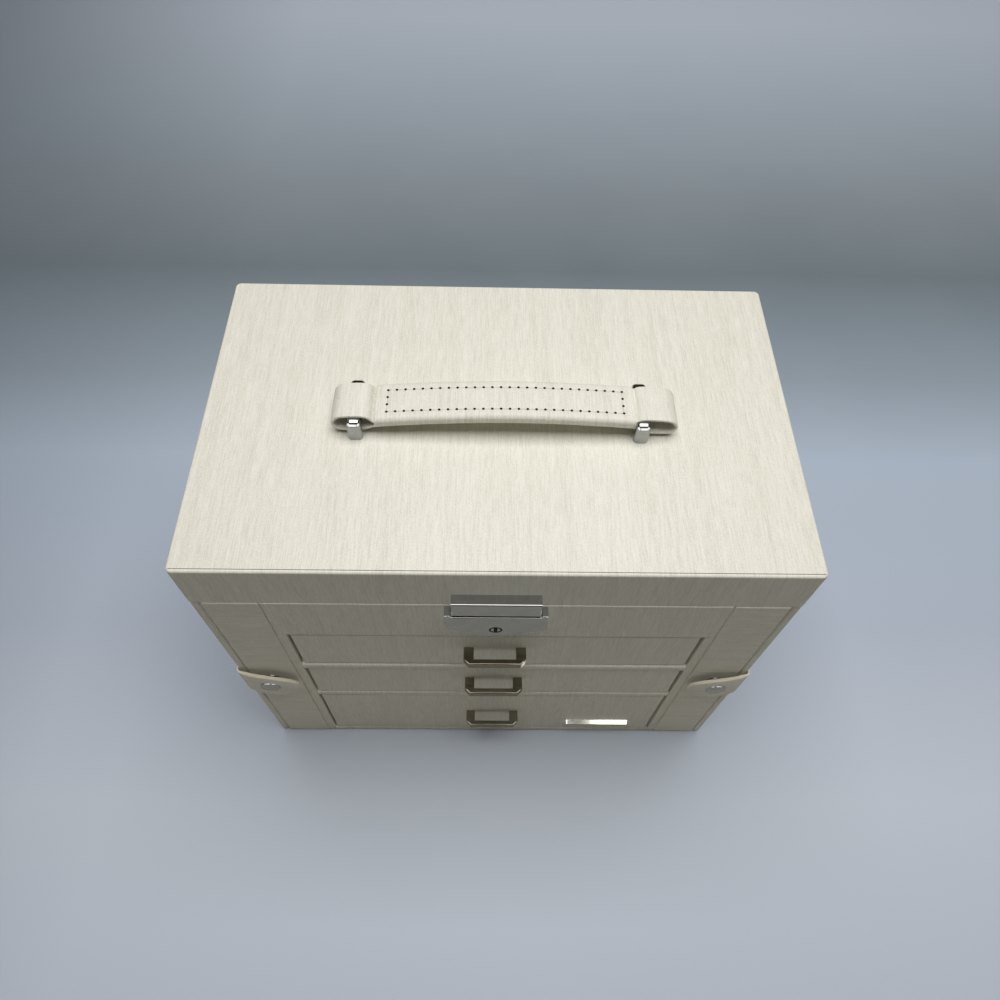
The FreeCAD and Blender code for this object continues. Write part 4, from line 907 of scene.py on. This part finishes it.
bm = bmesh.new()
bmesh.ops.create_cube(bm, size=1.0, matrix=Matrix.Diagonal((GRIP_HALF * 2, GRIP_WIDE, 1.0, 1.0)))
planes = [(x * 1.5, (1, 0, 0)) for x in range(-35, 36)]
planes += [(sign * (STITCH_HALF + step), (1, 0, 0)) for sign in (-1, 1) for step in (-0.6, 0, 0.6)]
planes += [(sign * (STITCH_ROW + step), (0, 1, 0)) for sign in (-1, 1) for step in (-0.7, 0, 0.7)]
planes += [(sign * (GRIP_WIDE / 2 - step), (0, 1, 0)) for sign in (-1, 1)
           for step in (0.1, 0.4, 0.9, 1.6, 2.4)]
planes += [(step, (0, 1, 0)) for step in (-3.4, -1.2, 1.2, 3.4)]
planes += [(sign * (GRIP_HALF - step), (1, 0, 0)) for sign in (-1, 1) for step in (0.25, 0.7)]
planes += [(step, (0, 0, 1)) for step in (-0.3, -0.1, 0.1, 0.3)]
for place, normal in planes:
    bmesh.ops.bisect_plane(bm, geom=bm.verts[:] + bm.edges[:] + bm.faces[:],
                           plane_co=Vector(normal) * place, plane_no=normal)
for vert in bm.verts:
    x, y, level = vert.co
    share = level + 0.5
    edge = max(0.0, abs(y) - (GRIP_WIDE / 2 - 2.4)) / 2.4
    roll = 1 - math.sqrt(max(0.0, 1 - edge * edge))
    top = grip_top(x) - 2.0 * roll
    bottom = grip_bottom(x) + 1.8 * roll
    pillow = 0.12 * (1 - (y / STITCH_ROW) ** 2) if abs(y) < STITCH_ROW else 0.0
    near_row = max(0.0, 1 - abs(abs(y) - STITCH_ROW) / 0.7) if abs(x) < STITCH_HALF + 0.4 else 0.0
    near_end = max(0.0, 1 - abs(abs(x) - STITCH_HALF) / 0.6) if abs(y) < STITCH_ROW + 0.4 else 0.0
    lift = pillow - 0.16 * max(near_row, near_end)
    tuck = 0.5 if abs(x) > GRIP_HALF - 0.2 else 0.0
    vert.co.z = bottom + tuck + (top + lift - 2 * tuck - bottom) * share
bmesh.ops.translate(bm, vec=((grip_low.x + grip_high.x) / 2, (grip_low.y + grip_high.y) / 2,
                             LID_TOP), verts=bm.verts)
grip = put_in_scene("handle_grip_padded", bm, [strap_leather], "handle",
                    ["handle_grip"], smooth=180.0)
soften = grip.modifiers.new("rounding", "SUBSURF")
soften.levels = 1
soften.render_levels = 1
print("grip:", round(GRIP_HALF * 2, 1), "by", round(GRIP_WIDE, 1), "mm")

# %% [markdown]
# ## Stitching
#
# From above the sewing reads as a row of dark needle holes with short lengths of thread between them, sunk
# in the groove. The dark of each hole is painted shade: a small dark dished disc sits on the surface in its
# place. One stitch and one hole are modelled small and light, since there are sixty of each, and copies are
# set along the rectangle. A ray dropped onto the finished grip tells how high its surface is at each place.


# %% Sew the grip
def add_stitch(bm, x, y, z, length, turned):
    """one stitch: a short rounded thread, along X or turned to run along Y"""
    size = (length, 0.5, 0.3) if not turned else (0.5, length, 0.3)
    place = Matrix.Translation((x, y, z)) @ Matrix.Diagonal((*size, 1.0))
    verts = bmesh.ops.create_cube(bm, size=1.0, matrix=place)["verts"]
    edges = list({edge for vert in verts for edge in vert.link_edges})
    bmesh.ops.bevel(bm, geom=edges, offset=0.13, segments=2, profile=0.5, affect="EDGES",
                    clamp_overlap=True, material=-1)


def add_hole_shade(bm, x, y, z):
    """one needle hole's painted shade: a small dark dished disc"""
    made = bmesh.ops.create_cone(bm, cap_ends=False, segments=10, radius1=0.58, radius2=0.05,
                                 depth=0.12, matrix=Matrix.Translation((x, y, z))
                                 @ Matrix.Rotation(math.pi, 4, "X"))["verts"]
    bmesh.ops.contextual_create(bm, geom=list({edge for vert in made for edge in vert.link_edges
                                               if edge.is_boundary
                                               and all(v.co.z < z for v in edge.verts)}))


def grip_surface(x, y):
    """height of the finished grip at one place, in millimetres"""
    finished = grip.evaluated_get(bpy.context.evaluated_depsgraph_get())
    return finished.ray_cast((x * MM, y * MM, 1.0), (0, 0, -1))[1].z / MM


ALONG = 27
ACROSS = 3
stitches = bmesh.new()
holes = bmesh.new()
grip_middle = (grip_low.x + grip_high.x) / 2
step_x = STITCH_HALF * 2 / ALONG
step_y = STITCH_ROW * 2 / ACROSS
for sign in (-1, 1):
    y = HANDLE_Y + sign * STITCH_ROW
    for number in range(ALONG + 1):
        x = grip_middle + number * step_x - STITCH_HALF
        add_hole_shade(holes, x, y, grip_surface(x, y) + 0.08)
        if number < ALONG:
            x += step_x / 2
            add_stitch(stitches, x, y, grip_surface(x, y) - 0.02, step_x * 0.72, False)
    x = grip_middle + sign * STITCH_HALF
    for number in range(ACROSS):
        y = HANDLE_Y - STITCH_ROW + step_y * (number + 0.5)
        add_stitch(stitches, x, y, grip_surface(x, y) - 0.02, step_y * 0.72, True)
        if number:
            y -= step_y / 2
            add_hole_shade(holes, x, y, grip_surface(x, y) + 0.08)
put_in_scene("grip_stitches", stitches, [thread], "handle", ["handle_stitching"])
put_in_scene("grip_hole_shade_discs", holes, [painted_hole_shade], "handle")

# %% [markdown]
# ## Snap flaps
#
# Each side door is held shut by a leather tongue that is sewn to the door, bends round its front edge and
# snaps to a stud. The leather is baked in place, closed, and does not ride on the flap's body. The tongue
# is cut flat first: a wire runs down one side, round the tip and back, is filled, sliced into strips and
# given thickness. Then it is bent by walking each point along the real path, three arcs that follow each
# other. Where it lies on the door and turns the corner the leather is pared thin. Its cut rim shows the raw
# core of the leather.

# %% Cut and bend the flaps
flap_low, flap_high = (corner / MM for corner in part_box("snap_flap_right"))
root_low, root_high = (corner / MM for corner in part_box("flap_root_right"))
FLAP = root_high.x - root_low.x
FLAP_HALF = (flap_high.z - flap_low.z) / 2
FLAP_Z = (flap_high.z + flap_low.z) / 2
PARED = 0.45
ROOT_X = root_low.x + FLAP * PARED / 2
ON_DOOR = root_high.y + 77.0
ARCS = ((1.9, math.radians(73.0)), (58.0, math.radians(22.5)), (30.0, math.radians(8.0)))
TIP = 1.4
DROOP = 0.055


def flap_path(run):
    """where the middle of the leather is after a run from its sewn end, and its outward side"""
    x, y, turn = ROOT_X, root_high.y - min(run, ON_DOOR), 0.0
    left = max(0.0, run - ON_DOOR)
    for radius, whole in ARCS:
        part = min(left / radius, whole)
        x -= radius * (math.cos(turn) - math.cos(turn + part))
        y -= radius * (math.sin(turn + part) - math.sin(turn))
        turn += part
        left -= part * radius
    return Vector((x, y, 0)), Vector((math.cos(turn), -math.sin(turn), 0))


def cut_flap(name, sign):
    """a flap with its root, for one side, bent round the door's edge"""
    length = ON_DOOR + sum(radius * turn for radius, turn in ARCS)
    bm = bmesh.new()
    start = bm.verts.new((0, -FLAP_HALF, 0))
    shoulder = length - FLAP_HALF * TIP
    end = wire_to(bm, start, [(shoulder, -FLAP_HALF, 0)])
    end = wire_round(bm, end, (shoulder, 0, 0), (0, 0, 1), 180, 24)
    end = wire_to(bm, end, [(0, FLAP_HALF, 0)])
    for vert in bm.verts:
        vert.co.x += max(0.0, vert.co.x - shoulder) * (TIP - 1)
    bm.edges.new((end, start))
    bmesh.ops.contextual_create(bm, geom=bm.edges[:])
    runs = [2.0, 5.0, 8.0, 11.0, 13.5] + [ON_DOOR + number * 0.5 for number in range(0, 10)]
    runs += [ON_DOOR + 6 + number * 1.8 for number in range(13)]
    for run in runs:
        bmesh.ops.bisect_plane(bm, geom=bm.verts[:] + bm.edges[:] + bm.faces[:],
                               plane_co=(run, 0, 0), plane_no=(1, 0, 0))
    grown = bmesh.ops.extrude_face_region(bm, geom=bm.faces[:])["geom"]
    bmesh.ops.translate(bm, vec=(0, 0, FLAP),
                        verts=[item for item in grown if isinstance(item, bmesh.types.BMVert)])
    bmesh.ops.recalc_face_normals(bm, faces=bm.faces)
    rim = [edge for edge in bm.edges if edge.calc_face_angle(0.0) > 1.2]
    bmesh.ops.bevel(bm, geom=rim, offset=0.3, segments=2, profile=0.5, affect="EDGES",
                    clamp_overlap=True, material=-1)
    for face in bm.faces:
        face.material_index = 1 if abs(face.normal.z) < 0.8 else 0
    for vert in bm.verts:
        run, up, out = vert.co
        middle, outward = flap_path(run)
        full = min(1.0, max(0.0, (run - ON_DOOR - 1.0) / 4.0))
        share = PARED + (1 - PARED) * full
        sunk = DROOP * max(0.0, run - ON_DOOR)
        vert.co = middle + outward * (out - FLAP / 2) * share + Vector((0, 0, FLAP_Z + up - sunk))
    if sign < 0:
        bmesh.ops.scale(bm, vec=(-1, 1, 1), verts=bm.verts)
    bmesh.ops.recalc_face_normals(bm, faces=bm.faces)
    return bm, length


for side_name, sign in (("left", -1), ("right", 1)):
    bm, flap_length = cut_flap(side_name, sign)
    bmesh.ops.scale(bm, vec=(MM, MM, MM), verts=bm.verts)
    mesh = bpy.data.meshes.new("flap_leather_" + side_name)
    bm.to_mesh(mesh)
    bm.free()
    mesh.shade_smooth()
    mesh.set_sharp_from_angle(angle=math.radians(50))
    mesh.materials.append(leather_level)
    mesh.materials.append(raw_edge)
    flap = bpy.data.objects.new("flap_leather_" + side_name, mesh)
    scene.collection.objects.link(flap)
    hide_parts("snap_flap_" + side_name, "flap_root_" + side_name)
    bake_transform(flap)
print("flap leather:", round(flap_length, 1), "mm long when flat")

# %% [markdown]
# ## Necklace pockets
#
# A necklace hangs from the hooks with its pendant in a gathered pocket. The cloth is wider than
# the bay, so it stands in folds between an elastic top edge and its sewn foot. The folds are
# moves of a finely cut strip: strongest half way up, tight at the foot and under the elastic.

# %% Gather the pockets
pocket_low, pocket_high = (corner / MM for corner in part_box("bay_pockets"))
POCKET_HALF = pocket_high.y - 0.6
POCKET_TALL = pocket_high.z - pocket_low.z
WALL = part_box("bay_lining_right")[0].x / MM + 1.0
SWELL_OUT = pocket_high.x - WALL - 1.6
pocket_radius = (POCKET_HALF ** 2 + SWELL_OUT ** 2) / (2 * SWELL_OUT)
pocket_turn = 2 * math.degrees(math.asin(POCKET_HALF / pocket_radius))
FOLDS = 26

for side_name, sign in (("left", -1), ("right", 1)):
    bm = bmesh.new()
    centre = Vector((WALL + 0.6 + SWELL_OUT - pocket_radius, 0, pocket_low.z + 0.4))
    start = bm.verts.new((WALL + 0.6, -POCKET_HALF, pocket_low.z + 0.4))
    wire_round(bm, start, centre, (0, 0, 1), pocket_turn, FOLDS * 8)
    tall = POCKET_TALL - 0.8
    sweep(bm, [(0, 0, tall * share) for share in (0.04, 0.10, 0.16, 0.2, 0.2, 0.14, 0.08, 0.04,
                                                  0.04)])
    for vert in bm.verts:
        up = (vert.co.z - pocket_low.z) / POCKET_TALL
        outward = (Vector((vert.co.x, vert.co.y, 0)) - Vector((centre.x, centre.y, 0))).normalized()
        angle = math.atan2(outward.y, outward.x) / math.radians(pocket_turn)
        fold = math.sin(angle * FOLDS * math.tau) + 0.35 * math.sin(angle * FOLDS * 3.1 + 1.3)
        hem = 1.0 if up < 0.88 else 0.35
        strength = 0.62 * hem * (0.35 + math.sin(min(up, 0.95) * math.pi))
        ends = min(1.0, (0.5 - abs(angle)) * 12)
        belly = 0.7 * math.sin(up * math.pi) - 0.9 * up ** 4
        vert.co += outward * ends * (fold * strength * 0.7 + belly - 0.3)
    if sign < 0:
        bmesh.ops.scale(bm, vec=(-1, 1, 1), verts=bm.verts)
    bmesh.ops.recalc_face_normals(bm, faces=bm.faces)
    cloth_area = sum(face.calc_area() for face in bm.faces)
    pocket = put_in_scene("bay_pocket_" + side_name, bm, [velvet], "case",
                          ["bay_pockets"], smooth=180.0)
    thicken(pocket, 0.7, levels=1)

# %% [markdown]
# ## Last measures
#
# The size of the dressed box is printed at the end; cloth may stand a little proud of the construction
# model's box.

# %% Write the sizes and finish
dressed_box = [list(corner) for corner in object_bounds()]
for low, high, axis in zip(dressed_box[0], dressed_box[1], "xyz"):
    print("dressed", axis, round(low / MM, 1), "to", round(high / MM, 1), "mm")
